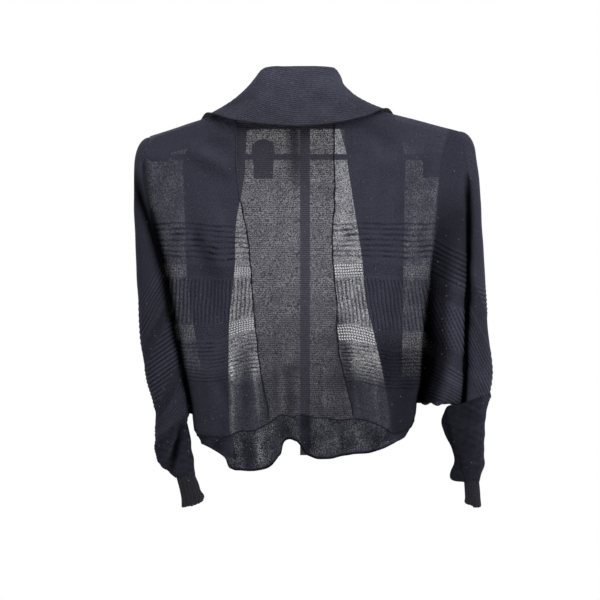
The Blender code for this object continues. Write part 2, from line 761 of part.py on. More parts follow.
def rod(collection, name, radius, start, end, look):
    """A straight round rod between two points."""
    start, end = np.array(start, float), np.array(end, float)
    length = np.linalg.norm(end - start)
    bpy.ops.mesh.primitive_cylinder_add(vertices=ROD_SIDES, radius=radius * MM, depth=length * MM)
    made = bpy.context.active_object
    made.name = name
    made.location = (start + end) / 2 * MM
    if abs(end[0] - start[0]) > 1:
        made.rotation_euler = (0, math.pi / 2, 0)
    for owner in made.users_collection:
        owner.objects.unlink(made)
    collection.objects.link(made)
    if look is not None:
        made.data.materials.append(look)
    return made


def clip(collection, cutters, side, look):
    """A trouser clip on the bar: a domed head over two closed jaws, bored for the bar."""
    x, head, jaws, top, low = CLIPS[side]
    dome = []
    for i in range(DOME_STEPS + 1):
        angle = math.pi * i / DOME_STEPS
        height = CLIP_SHOULDER + (top - CLIP_SHOULDER) * math.sin(angle) ** 0.6
        dome.append((x + head / 2 * math.cos(angle), height))
    jaw = [(x - jaws / 2, JAW_TOP), (x - jaws / 2, low), (x + jaws / 2, low), (x + jaws / 2, JAW_TOP)]
    made = outline(collection, "clip_" + side, dome + jaw, CLIP_DEPTH, CLIP_ROUND, look)
    start, end = (x - head, 0, BAR_HEIGHT), (x + head, 0, BAR_HEIGHT)
    bore = rod(cutters, "bore_" + side, BAR_RADIUS + FIT_GAP, start, end, None)
    bore.hide_render = True
    bore.display_type = "WIRE"
    cut = made.modifiers.new("bar bore", "BOOLEAN")
    cut.operation = "DIFFERENCE"
    cut.solver = "EXACT"
    cut.object = bore
    return made


def hanger(collection, cutters, look, clip_look):
    """The hanger: a board with two arms, its post, its bar in two halves and two clips."""
    left, right = ARM_END["left"], ARM_END["right"]
    inner_left, inner_right = ARM_LOWER[-1][0], ARM_LOWER[0][0]
    foot = [(right - TIP_SET, TIP_HEIGHT), (right - SOLE_SET, ARM_FOOT), (inner_right + HEEL_SET, ARM_FOOT),
            (inner_right, HEEL_HEIGHT)]
    toe = [(inner_left, HEEL_HEIGHT), (inner_left - HEEL_SET, ARM_FOOT), (left + SOLE_SET, ARM_FOOT),
           (left + TIP_SET, TIP_HEIGHT)]
    shape = list(ARM_TOP) + foot + list(ARM_LOWER) + toe
    outline(collection, "hanger_arms", shape, ARM_DEPTH, ARM_ROUND, look)
    rod(collection, "hanger_post", POST_RADIUS, (0, 0, 0), (0, 0, POST_TOP), look)
    clear = POST_RADIUS + FIT_GAP
    bar_left, bar_right = BAR_ENDS
    rod(collection, "hanger_bar_left", BAR_RADIUS, (bar_left, 0, BAR_HEIGHT), (-clear, 0, BAR_HEIGHT), look)
    rod(collection, "hanger_bar_right", BAR_RADIUS, (clear, 0, BAR_HEIGHT), (bar_right, 0, BAR_HEIGHT), look)
    for side in ("left", "right"):
        clip(collection, cutters, side, clip_look)


def main():
    """Clears the scene and builds the cardigan and its hanger."""
    for old in list(bpy.data.objects):
        bpy.data.objects.remove(old)
    garment = bpy.data.collections.new("batwing_cardigan")
    cutters = bpy.data.collections.new("cutters")
    for made in (garment, cutters):
        bpy.context.scene.collection.children.link(made)
    knit = (0.030, 0.032, 0.038)
    panel_hem = back_panel(garment, material("ribbed knit", knit, 0.9))
    hems = {}
    for side in ("left", "right"):
        hems[side] = wing(garment, side, material("wing knit " + side, (0.036, 0.038, 0.045), 0.9))
        cuff(garment, side, material("cuff knit " + side, (0.026, 0.028, 0.033), 0.9))
    shawl_collar(garment, material("collar knit", (0.024, 0.026, 0.031), 0.9))
    jersey = material("jersey", (0.042, 0.045, 0.053), 0.9)
    hem_band(garment, jersey, hems["left"], panel_hem, hems["right"])
    hanger(garment, cutters, material("grey plastic", (0.05, 0.05, 0.055), 0.5),
           material("clip plastic", (0.04, 0.04, 0.045), 0.45))


main()
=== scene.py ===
"""A sheer dark batwing cardigan on a clip hanger, seen from the back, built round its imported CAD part.

Every knitted piece is a fine surface worked out with numpy from the same lines as the CAD part, with its
ridges, ribs, rolled edges and creases in the mesh, and a knit finish that lets light through. The tables are
in millimetres: x to the right and height from the lower end of the hanger's post.
"""

import logging
import math
from dataclasses import dataclass, field
from enum import Enum
from typing import Sequence

import bpy
import numpy as np
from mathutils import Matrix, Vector


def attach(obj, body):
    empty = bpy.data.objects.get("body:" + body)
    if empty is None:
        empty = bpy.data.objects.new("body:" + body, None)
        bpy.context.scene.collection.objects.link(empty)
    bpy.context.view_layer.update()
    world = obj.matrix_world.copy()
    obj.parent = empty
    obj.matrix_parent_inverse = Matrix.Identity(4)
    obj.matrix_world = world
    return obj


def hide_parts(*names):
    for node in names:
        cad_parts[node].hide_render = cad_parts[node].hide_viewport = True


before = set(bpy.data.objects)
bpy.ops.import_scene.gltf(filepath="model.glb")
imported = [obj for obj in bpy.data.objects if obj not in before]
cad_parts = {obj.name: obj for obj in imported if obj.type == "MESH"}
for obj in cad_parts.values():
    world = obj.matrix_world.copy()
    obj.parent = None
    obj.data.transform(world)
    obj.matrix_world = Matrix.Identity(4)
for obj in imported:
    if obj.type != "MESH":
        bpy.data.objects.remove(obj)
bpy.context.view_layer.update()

LOG = logging.getLogger("cardigan")
MM = 0.001
Array = np.ndarray
Columns = tuple[Array, Array, Array]
Rows = Sequence[Sequence[float]]
Thing = bpy.types.Object
Material = bpy.types.Material
Socket = bpy.types.NodeSocket

# Gaps, the neck's line, the low ends of panel and seams, how soon the cloth opens below the shoulder, and how
# far below it the underarm lies
SEAM_GAP = 0.5
FOLD_FLOOR = 4.0
NECK_HEIGHT = 421.0
NECK_DIP = 2.0
PANEL_LOW = 52
SEAM_LOW = 48
CROWN_DROP = 11.0
WING_DROP = 343.0

# The middle height of the sleeves' pattern, and the cells of the open zigzag with their slanted holes
SLEEVE_CENTRE = 118.0
LACE_ROW = 3.4
LACE_COLUMN = 3.3
LACE_SLANT = 0.7
LACE_ROUND = (2.9, 2.8)
LACE_EDGE = (0.4, 1.3)
LACE_OPEN = 0.58

# The collar: its welts, the lapels' top, facing and lift off the body, its fold, and how its fall flares
COLLAR_WELT = 6.6
LAPEL_TOP = 372
LAPEL_FACING = 12.0
LAPEL_LIFT = {"seam": 4.2, "fold": 4.6, "edge": 9.6}
FOLD_RADIUS = 1.9
FALL_BULGE = 2.6
FLARE_DROP = (0.62, 0.50)
FLARE_SPAN = (-90.0, 40.0)
FLARE_REACH = 0.04
FLARE_FROM = (395.0, 425.0)

# The folds beside each part of a wing, and how dark their shadow is at the most
ZONE_FOLDS = {"body": ("side",), "pouch": ("pouch_in", "pouch_out"), "sleeve": ("sleeve",)}
SHADOW_DARK = 0.95

# The cuffs' ribs, the columns of the depth table and what a point of knit holds when nothing is said
CUFF_RIBS = 16
DEPTH_COLUMNS = ("height", "back", "front", "sleeve", "pouch")
WEAVE_VALUES = {"lift": 0.0, "cover": 0.9, "lace": 0.0, "tone": 1.0}

# The centre back by height: how much light it holds back, and its painted light and shade
PANEL_COVER = ((30, 0.972), (60, 0.98), (110, 0.977), (160, 0.966), (220, 0.945), (300, 0.934), (421, 0.94))
PANEL_PAINTED_LIGHT = ((30, 0.78), (70, 0.74), (120, 0.88), (180, 1.12), (260, 1.3), (320, 1.2), (365, 0.95),
              (421, 0.86))

# Thicker places, as rows of x and height at both ends, width and how much: gathers beside the panel seams
LEFT_GATHERS = (
    (-76, 150, -72, 12, 8, 1.3), (-92, 140, -91, 8, 3.2, -1.3), (-66, 120, -57, 44, 2.6, -1.1),
    (-104, 70, -102, 16, 6, 0.8),
)
RIGHT_GATHERS = (
    (42, 190, 60, 46, 6.5, 1.7), (58, 118, 78, 40, 11, 0.8), (62, 92, 70, 40, 2.6, -0.9),
    (88, 104, 92, 34, 4, -0.8),
)
PANEL_GATHERS = (
    (-17, 460, -10, 334, 7.5, 2.2), (-84, 470, -94, 322, 7.5, 1.8), (-55, 90, -47, 40, 3.5, 2.4),
    (-38, 128, -36, 44, 4, 0.8), (-22, 120, -18, 50, 6, 0.9), (-30, 110, -28, 50, 2.5, -0.6),
    (22, 120, 26, 44, 3, -0.5), (34, 130, 44, 44, 6, 0.8), (38, 186, 48, 70, 4.5, 1.0),
    (42, 78, 48, 42, 2.2, -0.8),
)
HEM_GATHERS = (
    (-76, 30, -70, -20, 6, 1.3), (-60, 36, -56, -20, 5, -0.9), (-94, 26, -92, -10, 3, -0.8),
    (-26, 52, -24, 14, 7, 0.9), (-38, 46, -44, -6, 4, -0.6), (6, 50, 6, -2, 6, 0.7),
    (26, 48, 24, -4, 5, -0.6), (46, 44, 46, 0, 5, 0.6), (66, 44, 66, 2, 4, -0.5), (92, 38, 88, 6, 6, 0.8),
)

# The line of the second row of sewing under the collar, on the left wing and on the centre back
WING_LINES = ((-133, 434, -84, 416.5, 1.1, 1.0),)
PANEL_LINES = ((-92, 419, -58, 412, 1.1, 1.0),)

# The pouch by height: where its black hollow ends, the painted shade in the hollow and the painted light
# beyond it
POUCH_HOLLOW = ((66, 149), (72, 151), (108, 161), (133, 164), (159, 162), (200, 163), (300, 172), (414, 180))
HOLLOW_PAINTED_SHADE = ((66, 0.02), (150, 0.03), (200, 0.14), (250, 0.28), (300, 0.5), (345, 0.9))
POUCH_PAINTED_LIGHT = ((66, 1.0), (190, 1.08), (235, 0.66), (300, 0.5), (345, 0.9))

# The left fold's shadow by height: how far outside the fold it lies, how wide it is and how strong
LEFT_SHADOW_SHIFT = ((150, 0), (200, -1.2), (290, -2), (324, -7), (350, -8), (378, -8))
LEFT_SHADOW_WIDTH = ((52, 2.6), (100, 3.2), (150, 4.4), (230, 6.2), (330, 6.5))
LEFT_SHADOW = ((330, 1.0), (346, 0.75), (368, 0.0))

# Painted shade on the dark side of the crease on the left forearm, and along the dark rim of the right one
LEFT_ARM_SHADE = ((-154, 42, -171, -24, 4.5, 0.8),)
RIGHT_ARM_SHADE = ((176, 66, 192, -20, 3.0, 0.5),)

# Creases, listed as rows of x and height at both ends, width and lift; a trough is minus
LEFT_BODY_CREASES = (
    (-160, 384, -92, 348, 8, -2.4), (-150, 396, -92, 366, 8, 2.0), (-128, 404, -90, 392, 7, -1.8),
    (-168, 330, -132, 236, 10, 1.6), (-150, 300, -100, 205, 9, -2.2), (-120, 330, -92, 262, 8, 1.6),
    (-150, 330, -112, 175, 9, -1.6), (-132, 120, -96, 40, 7, 1.5), (-112, 110, -84, 34, 6, -1.6),
    (-96, 150, -80, 34, 6, 1.3), (-80, 170, -72, 90, 4, -1.5), (-68, 175, -62, 88, 4, 1.4),
)
RIGHT_BODY_CREASES = (
    (160, 395, 120, 300, 10, -1.8), (60, 424, 118, 396, 8, -1.6), (70, 404, 112, 372, 9, 1.5),
    (150, 330, 96, 190, 9, 1.2), (128, 300, 108, 150, 8, -1.4), (56, 170, 60, 60, 4, -1.8),
    (68, 160, 76, 50, 5, 1.6), (84, 150, 92, 40, 6, -1.4), (112, 130, 104, 36, 7, 1.4),
    (140, 150, 122, 44, 7, -1.4),
)
POUCH_CREASES = (
    (160, 200, 186, 150, 5, 1.4), (164, 150, 192, 120, 5, -1.4), (162, 110, 198, 84, 5, 1.6),
    (172, 300, 180, 180, 7, -1.0),
)
LEFT_SLEEVE_CREASES = (
    (-178, 240, -206, 190, 6, 1.4), (-170, 190, -204, 140, 6, -1.4), (-160, 140, -198, 90, 6, 1.5),
    (-155, 96, -196, 44, 6, -1.6), (-156, 64, -188, 20, 5, 1.6), (-152, 46, -176, -26, 4.0, -3.6),
    (-158, 40, -182, -18, 3.2, 2.4),
)
RIGHT_SLEEVE_CREASES = (
    (210, 250, 226, 190, 6, 1.3), (208, 180, 230, 120, 6, -1.3), (206, 110, 234, 84, 6, 1.4),
    (196, 60, 230, 40, 5, -1.8), (184, 44, 226, 28, 5, 1.6), (191, 14, 202, -34, 2.6, -2.0),
    (188, 18, 226, 8, 4, -1.2), (192, -4, 224, -16, 4, 1.3),
)
PANEL_CREASES = (
    (-66, 330, -30, 90, 9, -0.9), (20, 340, 14, 120, 9, 0.9), (-36, 120, -34, 48, 5, 1.4),
    (16, 110, 20, 46, 5, -1.5), (36, 120, 44, 44, 5, 1.4),
)
HEM_CREASES = (
    (-112, 30, -104, -8, 7, 1.6), (-84, 34, -76, -20, 7, -1.6), (-58, 40, -52, -20, 6, 1.8),
    (-26, 52, -28, 12, 5, -1.8), (10, 50, 8, -6, 5, -1.8), (44, 46, 42, -4, 7, 1.5),
    (78, 44, 76, 0, 6, -1.4), (112, 34, 108, 12, 6, 1.2),
)
COLLAR_CREASES = (
    (-118, 438, -60, 456, 5, -1.6), (-66, 452, -30, 462, 6, 1.3), (100, 440, 56, 456, 5, -1.6),
    (60, 456, 20, 466, 6, 1.2), (-50, 486, 40, 488, 4, 0.8),
)

# Lines that run down the left wing, as rows of (height, x). Each starts on the shoulder line.
LEFT_LINES = {
    "seam": ((439, -93), (421, -89), (358, -86), (324, -82), (275, -72), (241, -69), (197, -66), (159, -62),
             (105, -56), (50, -46), (20, -44)),
    "edge": ((439, -93), (410, -85), (373, -77), (335, -81), (312, -86), (291, -89), (243, -90), (171, -97),
             (103, -98), (20, -97)),
    "side": ((405, -196), (378, -200), (368, -202), (305, -193), (235, -176), (184, -167), (133, -158),
             (89, -149), (63, -144), (32, -141), (18, -133), (0, -128)),
    "sleeve": ((403, -198), (378, -205), (368, -206), (305, -197), (235, -180), (184, -171), (133, -162),
               (89, -153), (63, -148), (52, -146.5)),
    "outer": ((366, -217), (324, -217), (260, -215), (197, -212), (139, -208), (93, -200), (67, -193),
              (30, -190)),
}

# The same lines on the right wing, where the cloth under the arm hangs as a pouch between two folds
RIGHT_LINES = {
    "seam": ((451, 42), (425, 38), (378, 37), (314, 37), (288, 35), (223, 37), (194, 40), (150, 41),
             (120, 45), (95, 51), (70, 57), (50, 61), (20, 64)),
    "edge": ((451, 42), (418, 44), (382, 53), (353, 58), (321, 63), (257, 73), (187, 81), (149, 90),
             (103, 100), (20, 112)),
    "side": ((415, 182), (378, 172), (300, 164), (200, 154), (150, 151), (113, 148), (90, 146), (66, 142),
             (54, 141), (44, 139), (36, 135), (28, 130), (18, 124), (0, 120)),
    "pouch_in": ((414, 186), (378, 176), (300, 168), (200, 158), (150, 156), (113, 153), (90, 151),
                 (65, 145)),
    "pouch_out": ((412, 193), (378, 201), (350, 203), (235, 205), (150, 202), (100, 201), (66, 199)),
    "sleeve": ((411, 196), (378, 205), (350, 207), (235, 209), (150, 206), (100, 205), (67, 203)),
    "outer": ((378, 217), (352, 221), (324, 223), (268, 226), (215, 229), (169, 232), (131, 236), (105, 238),
              (86, 236), (60, 231)),
}

# Half depths by height, in the order of DEPTH_COLUMNS
DEPTHS = (
    (451, 14, 14, 14, 14), (405, 17, 17, 15, 15), (368, 24, 25, 19, 20), (324, 30, 31, 23, 26),
    (260, 35, 36, 26, 30), (197, 38, 39, 27, 31), (133, 40, 41, 26, 31), (90, 42, 42, 24, 29),
    (50, 43, 42, 21, 24), (-30, 44, 42, 18, 20),
)

# How deep the folds beside the sleeves are, from none to full, by height
LEFT_FOLD = ((378, 0.0), (366, 0.75), (330, 1.0))
RIGHT_SLEEVE_FOLD = ((360, 0.0), (330, 0.7), (260, 1.0))
RIGHT_SIDE_FOLD = ((290, 0.0), (230, 0.35), (160, 1.0))

# Rings of the forearms from the underarm down: inner x and height, outer x and height, and half depth
LEFT_RINGS = (
    (-149.5, 43, -190, 8, 22), (-149, 38, -188.5, -1, 20.5), (-148, 34, -187, -7, 18),
    (-146, 27, -184, -11.5, 15), (-145, 22, -180, -16.5, 13), (-144, 16, -176, -19.5, 12.5),
    (-143, 8, -172.5, -21.7, 12.5), (-141, -8, -168, -24.7, 13), (-138.5, -28, -164, -28, 13),
)
RIGHT_RINGS = (
    (193, 64, 236, 74, 19), (182, 62.8, 233, 67, 17), (176, 54, 231, 56, 16), (174, 43, 229, 41, 16),
    (177, 27, 227.5, 23, 17), (187, 5, 227, 4, 16), (189.5, -6, 227, -11, 15), (184.5, -29, 223, -29, 13),
    (201, -34, 222, -34, 14),
)

# Rings of the cuffs: middle x, height, half width, half depth
LEFT_CUFF = (
    (-151.5, -28.5, 12.5, 13.0), (-148, -37, 12.8, 13.0), (-145.5, -46, 12.8, 13.5),
    (-142.5, -54, 14.2, 15.0), (-143, -62, 13.5, 16.5),
)
RIGHT_CUFF = (
    (211.5, -34.4, 9.7, 14.0), (212.5, -45, 9.6, 14.5), (213, -54, 9.6, 15.0), (213, -60, 10.2, 16.5),
    (213.5, -63, 10.0, 17.5),
)

# The hem seam and the hem's lower edge across the back, as rows of (x, height)
HEM_SEAM = ((-150, 25), (-128, 24), (-100, 25), (-84, 31), (-67, 32), (-47, 41), (-28, 52), (-18, 49),
            (-5, 52), (13, 48), (27, 48), (42, 45), (60, 47), (84, 42), (97, 37), (110, 31), (121, 27),
            (150, 40))
HEM_EDGE = ((-150, 28), (-135, 19), (-126, 14), (-118, 9), (-110, 4), (-104, -1), (-100, -6), (-98, -12),
            (-92, -17), (-81, -18.5), (-60, -18.5), (-51, -16.5), (-43, -11.5), (-37, -6.5), (-33, -1),
            (-29, 4), (-27, 12), (-24, 18), (-19, 21), (-14, 19.5), (-8, 17), (-4, 13), (-2, 9), (1, 3),
            (8, -1.5), (14, -3.5), (24, -4), (36, -3), (43, -1), (60, 2), (84, 4), (97, 8.5), (108, 14),
            (117, 19), (123, 24), (128, 29), (132, 34), (135, 39), (150, 50))
FRONT_HEM_SEAM = ((-140, 26), (-97, 34), (112, 40), (140, 44))
FRONT_HEM_EDGE = ((-140, 20), (-97, -4), (94, 15), (112, 19), (140, 38))

# Folds of the back, as rows of x and height at the top and at the bottom, width and depth (a trough is minus)
BACK_FOLDS = (
    (-66, 190, -74, 40, 7, 3.5), (-56, 130, -52, 30, 6, -4.0), (-44, 150, -40, 20, 7, 4.5),
    (-26, 120, -23, 20, 6, -6.0), (-12, 170, -10, 20, 7, 4.0), (4, 110, 2, 10, 6, -4.5),
    (30, 190, 58, 45, 7, 5.0), (100, 150, 92, 40, 9, -4.0), (-112, 190, -116, 30, 9, 4.0),
    (-150, 330, -110, 180, 11, -3.5), (120, 340, 96, 170, 11, -3.5),
)

# Sections of the shawl collar round the neck, from the centre back to the top of each opening edge: x, y and
# height of its seam, of its fold and of its outer edge
CENTRE_BACK = (-14, -15.8, 421.7, -6, -22, 493, -8, -40, 416.5)
LEFT_COLLAR = (
    (-50, -15.8, 420.9, -28, -22, 493, -50, -39, 419),
    (-84, -15.6, 422.2, -46, -17, 491.5, -94, -32, 425.5),
    (-89.6, -14.3, 433, -55, -6, 484, -116, -20, 432), (-92, 2, 444, -61, 7, 470, -127, 6, 431),
    (-91, 18.5, 430, -69, 24, 448, -138, 26, 412), (-86, 24, 400, -74, 30, 404, -150, 33, 388),
)
RIGHT_COLLAR = (
    (8, -15.8, 423.2, 17, -22, 493, 34, -39, 420), (33, -15.6, 426, 33, -17, 491.5, 76, -33, 429),
    (39, -14.3, 439, 40, -6, 485, 97, -21, 437.5), (42, 2, 456, 45, 7, 474, 108, 6, 436),
    (44, 18.5, 438, 49, 24, 452, 118, 26, 417), (56, 24, 402, 50, 30, 406, 125, 33, 390),
)


class Side(Enum):
    """The two wings."""

    LEFT = -1
    RIGHT = 1

    @property
    def word(self) -> str:
        """The name of the side in lower case."""
        return self.name.lower()

    @property
    def tables(self) -> "WingTables":
        """The tables and sizes in which this wing differs from the other."""
        return WING_TABLES[self]

    @property
    def lines(self) -> dict[str, Rows]:
        """The table of the wing's lines."""
        return self.tables.lines


class Layer(Enum):
    """The two layers of the hanging body: its value is the direction along Y."""

    BACK = -1
    FRONT = 1

    @property
    def word(self) -> str:
        """The name of the layer in lower case."""
        return self.name.lower()


class Hold(Enum):
    """How a sheet of knit is held."""

    HUNG = "hung"
    FOLDED = "folded"
    GATHERED = "gathered"

@dataclass(frozen=True)
class WingTables:
    """The tables and sizes in which one wing differs from the other.

    The folds hold how open the fold is at the body's side and at the sleeve, by height. Slope, shift and
    stretch are those of the sleeve's pattern. Sheer and dull are the light that the body lets through above
    its dense part and in it, and lace_inside is added to the zigzag's openness inside the front edge. The
    fields thread and sleeve_painted_light are painted light on the body and on the sleeve, higher on the
    right wing, which is lit more. The panel seam is pale from pale_from up.
    """

    lines: dict[str, Rows]
    underarm: tuple[float, float]
    side_fold: Rows
    sleeve_fold: Rows
    rings: Rows
    cuff: Rows
    cuff_tilt: float
    slope: float
    shift: float
    stretch: float
    collar: Rows
    lapel_reach: Rows
    lapel_bottom: float
    fold_set: float
    body_creases: Rows
    sleeve_creases: Rows
    gathers: Rows
    arm_shade: Rows
    sheer: float
    dull: float
    lace_inside: float
    thread: float
    sleeve_painted_light: float
    pale_from: float


# Painted light in each wing's table: the body and the sleeve are lit lighter on the right wing
WING_TABLES = {
    Side.LEFT: WingTables(
        lines=LEFT_LINES, underarm=(52, 22), side_fold=LEFT_FOLD, sleeve_fold=LEFT_FOLD, rings=LEFT_RINGS,
        cuff=LEFT_CUFF, cuff_tilt=0.28, slope=1.4, shift=48.0, stretch=1.0, collar=LEFT_COLLAR,
        lapel_reach=((372, -155), (200, -146), (100, -130), (0, -116)), lapel_bottom=7, fold_set=0.5,
        body_creases=LEFT_BODY_CREASES, sleeve_creases=LEFT_SLEEVE_CREASES, gathers=LEFT_GATHERS,
        arm_shade=LEFT_ARM_SHADE, sheer=0.142, dull=0.020, lace_inside=0.25, thread=1.03, sleeve_painted_light=0.70,
        pale_from=326.0,
    ),
    Side.RIGHT: WingTables(
        lines=RIGHT_LINES, underarm=(66, 80), side_fold=RIGHT_SIDE_FOLD, sleeve_fold=RIGHT_SLEEVE_FOLD,
        rings=RIGHT_RINGS, cuff=RIGHT_CUFF, cuff_tilt=-0.16, slope=2.0, shift=-32.0, stretch=0.62,
        collar=RIGHT_COLLAR, lapel_reach=((372, 127), (200, 124), (100, 122), (0, 117)), lapel_bottom=28,
        fold_set=0.8, body_creases=RIGHT_BODY_CREASES, sleeve_creases=RIGHT_SLEEVE_CREASES,
        gathers=RIGHT_GATHERS, arm_shade=RIGHT_ARM_SHADE, sheer=0.172, dull=0.014, lace_inside=0.45,
        thread=1.12, sleeve_painted_light=0.92, pale_from=1000.0,
    ),
}

@dataclass(frozen=True)
class Band:
    """A band of pattern between two heights of the knitting, and the pitch of what repeats in it."""

    top: float
    low: float
    pitch: float = 1.0

    def mask(self, q: Array, soft: float = 1.5) -> Array:
        """1 inside the band and 0 outside: product of two smooth steps of half width soft."""
        return step((q - self.low) / soft) * step((self.top - q) / soft)

    def wave(self, q: Array) -> Array:
        """From 0 to 1 and back once a pitch: (1 + cos(2 pi (q - low) / pitch)) / 2."""
        return 0.5 + 0.5 * np.cos(2 * math.pi * (q - self.low) / self.pitch)


UPPER_RIDGES = Band(297, 249, 6.8)
UPPER_LACE = Band(242, 226)
RIBS = Band(223, 167, 4.9)
LOWER_LACE = Band(165, 146)
LOWER_RIDGES = Band(144, 92, 4.7)


@dataclass(frozen=True)
class Edge:
    """A soft edge at a place, which takes half its width on both sides."""

    place: float
    half: float

    def above(self, value: Array) -> Array:
        """0 below the edge and 1 above it."""
        return step((value - self.place) / self.half)

    def below(self, value: Array) -> Array:
        """1 below the edge and 0 above it."""
        return step((self.place - value) / self.half)


# Edges by height, and by x where the name says across
FOLD_END = Edge(52, 12)
PATTERN_LOW = Edge(195, 45)
RISE_ACROSS = Edge(-88, 26)
DIP_ACROSS = Edge(82, 34)
FALL_ACROSS = Edge(-118, 34)
FALL_FROM = Edge(236, 14)
SHADOW_WIDE = Edge(175, 30)
DENSE_FROM = Edge(102, 14)
RIGHT_DIM_FROM = Edge(146, 26)
SHOULDER = Edge(378, 9)
SHOULDER_ACROSS = Edge(128, 28)
SLEEVE_PAINTED_LIGHT_FROM = Edge(352, 34)
RIDGES_LOW = Edge(68, 10)
RIDGES_TOP = Edge(212, 12)
ARM_ACROSS = Edge(214, 14)
ARM_RIM_ACROSS = Edge(225, 4)

# Edges by the distance past the pouch's hollow, and down the collar from its fold
HOLLOW_RIM = Edge(4, 5)
HOLLOW_END = Edge(18, 9)
FALL_DARKER = Edge(34, 26)


def curve(rows: Rows, where: Array | float) -> Array:
    """A smooth curve through a table.

    Formula: on each stretch, v0 + (v1 - v0) s + t (1 - t) L ((1 - t) m0 - t m1), with s = 3 t^2 - 2 t^3,
    L the stretch's length and m the slopes at the rows.

    Args:
        rows: rows of (place, value).
        where: the places at which the curve is read.

    Returns:
        The values at the places.
    """
    table = np.array(sorted(tuple(row) for row in rows), float)
    place, value = table[:, 0], table[:, 1]
    slope = np.gradient(value, place)
    where = np.clip(where, place[0], place[-1])
    i = np.clip(np.searchsorted(place, where) - 1, 0, len(place) - 2)
    length = place[i + 1] - place[i]
    t = (where - place[i]) / length
    smooth = t * t * (3 - 2 * t)
    bend = t * (1 - t) * length * ((1 - t) * slope[i] - t * slope[i + 1])
    return value[i] + (value[i + 1] - value[i]) * smooth + bend


def straight(rows: Rows, where: Array | float) -> Array:
    """Straight lines between a table's rows of (place, value)."""
    table = np.array(sorted(tuple(row) for row in rows), float)
    return np.interp(where, table[:, 0], table[:, 1])


def step(t: Array) -> Array:
    """A smooth step from 0 at t = -1 to 1 at t = 1."""
    s = np.clip((np.asarray(t, float) + 1) / 2, 0, 1)
    return s * s * (3 - 2 * s)


def arch(t: Array, power: float = 2.6) -> Array:
    """A rounded arch over t from -1 to 1: (1 - |t|^power)^(1 / power)."""
    return np.clip(1 - np.abs(t) ** power, 0, 1) ** (1 / power)


def unit(vectors: Array, least: float = 1e-6) -> Array:
    """The vectors along the last axis at length 1; those shorter than least stay short."""
    return vectors / np.maximum(np.linalg.norm(vectors, axis=-1), least)[..., None]


def run(points: Array) -> Array:
    """The way along the points from the first one, summed down the first axis."""
    return np.cumsum(np.linalg.norm(np.diff(points, axis=0, prepend=points[:1]), axis=-1), 0)


def spaced(count: int) -> Array:
    """One row of count + 1 places from 0 to 1, closer at both ends: (1 - cos(pi s)) / 2."""
    return (1 - np.cos(math.pi * np.linspace(0, 1, count + 1)))[None, :] / 2


def waves(x: Array, z: Array, size: float, seed: int) -> Array:
    """Soft unevenness between about -1 and 1.

    Formula: six sines in fixed directions, 0.7 to 1.5 times size in wavelength, summed and divided by 2.6.

    Args:
        x: across, in millimetres.
        z: height, in millimetres.
        size: the wavelength, in millimetres.
        seed: of the directions, phases and wavelengths.

    Returns:
        The unevenness at each point.
    """
    made = np.random.default_rng(seed)
    total = 0.0
    for _ in range(6):
        angle, phase, scale = made.uniform(0, math.pi), made.uniform(0, 2 * math.pi), made.uniform(0.7, 1.5)
        along = x * math.cos(angle) + z * math.sin(angle)
        total = total + np.sin(2 * math.pi * along / (size * scale) + phase)
    return total / 2.6

def creases(x: Array, z: Array, table: Rows) -> Array:
    """How far the listed creases lift the cloth.

    Formula: for each row, lift * exp(-(d / width)^2) * sin(pi t)^0.7, with d the distance to the row's line
    and t the way along it, from 0 to 1.

    Args:
        x: across, in millimetres.
        z: height, in millimetres.
        table: rows of x and height at both ends, width and lift (a trough is minus).

    Returns:
        The lift at each point.
    """
    total = np.zeros(np.broadcast(x, z).shape)
    for x0, z0, x1, z1, width, lift in table:
        along = np.array((x1 - x0, z1 - z0), float)
        length = np.linalg.norm(along)
        along /= length
        t = ((x - x0) * along[0] + (z - z0) * along[1]) / length
        away = (x - x0) * along[1] - (z - z0) * along[0]
        fade = np.sin(math.pi * np.clip(t, 0, 1)) ** 0.7
        total = total + lift * fade * np.exp(-((away / width) ** 2))
    return total


def depth(column: str, height: Array) -> Array:
    """The half depth of the cloth at a height, from a named column of the depth table."""
    index = DEPTH_COLUMNS.index(column)
    return curve([(row[0], row[index]) for row in DEPTHS], height)


def body_middle(height: Array) -> Array:
    """The middle of the body between its two side lines."""
    return (straight(LEFT_LINES["side"], height) + straight(RIGHT_LINES["side"], height)) / 2


def body_half(height: Array) -> Array:
    """Half the body's width between its two side lines."""
    return (straight(RIGHT_LINES["side"], height) - straight(LEFT_LINES["side"], height)) / 2


def fold_relief(x: Array, height: Array) -> Array:
    """How far the big folds lift or sink the back.

    Formula: the sum of depth * sin(pi t / 2)^1.5 * exp(-(away / width)^2), with t the way down a fold.

    Args:
        x: across, in millimetres.
        height: in millimetres.

    Returns:
        The lift at each point, in millimetres.
    """
    relief = np.zeros(np.broadcast(x, height).shape)
    for top_x, top_z, low_x, low_z, width, lift in BACK_FOLDS:
        t = np.clip((top_z - height) / (top_z - low_z), 0, 1)
        away = (x - (top_x + (low_x - top_x) * t)) / width
        relief = relief + lift * np.sin(t * math.pi / 2) ** 1.5 * np.exp(-away * away)
    return relief


def share_open(height: Array, fold: Rows) -> Array:
    """How much of the fold beside a sleeve is open at a height, from 0 to 1."""
    return np.clip(straight(fold, height), 0, 1)


def fold_floor(height: Array) -> Array:
    """The half depth at the bottom of a fold, which closes below the underarm."""
    return FOLD_FLOOR * (0.15 + 0.85 * FOLD_END.above(height))


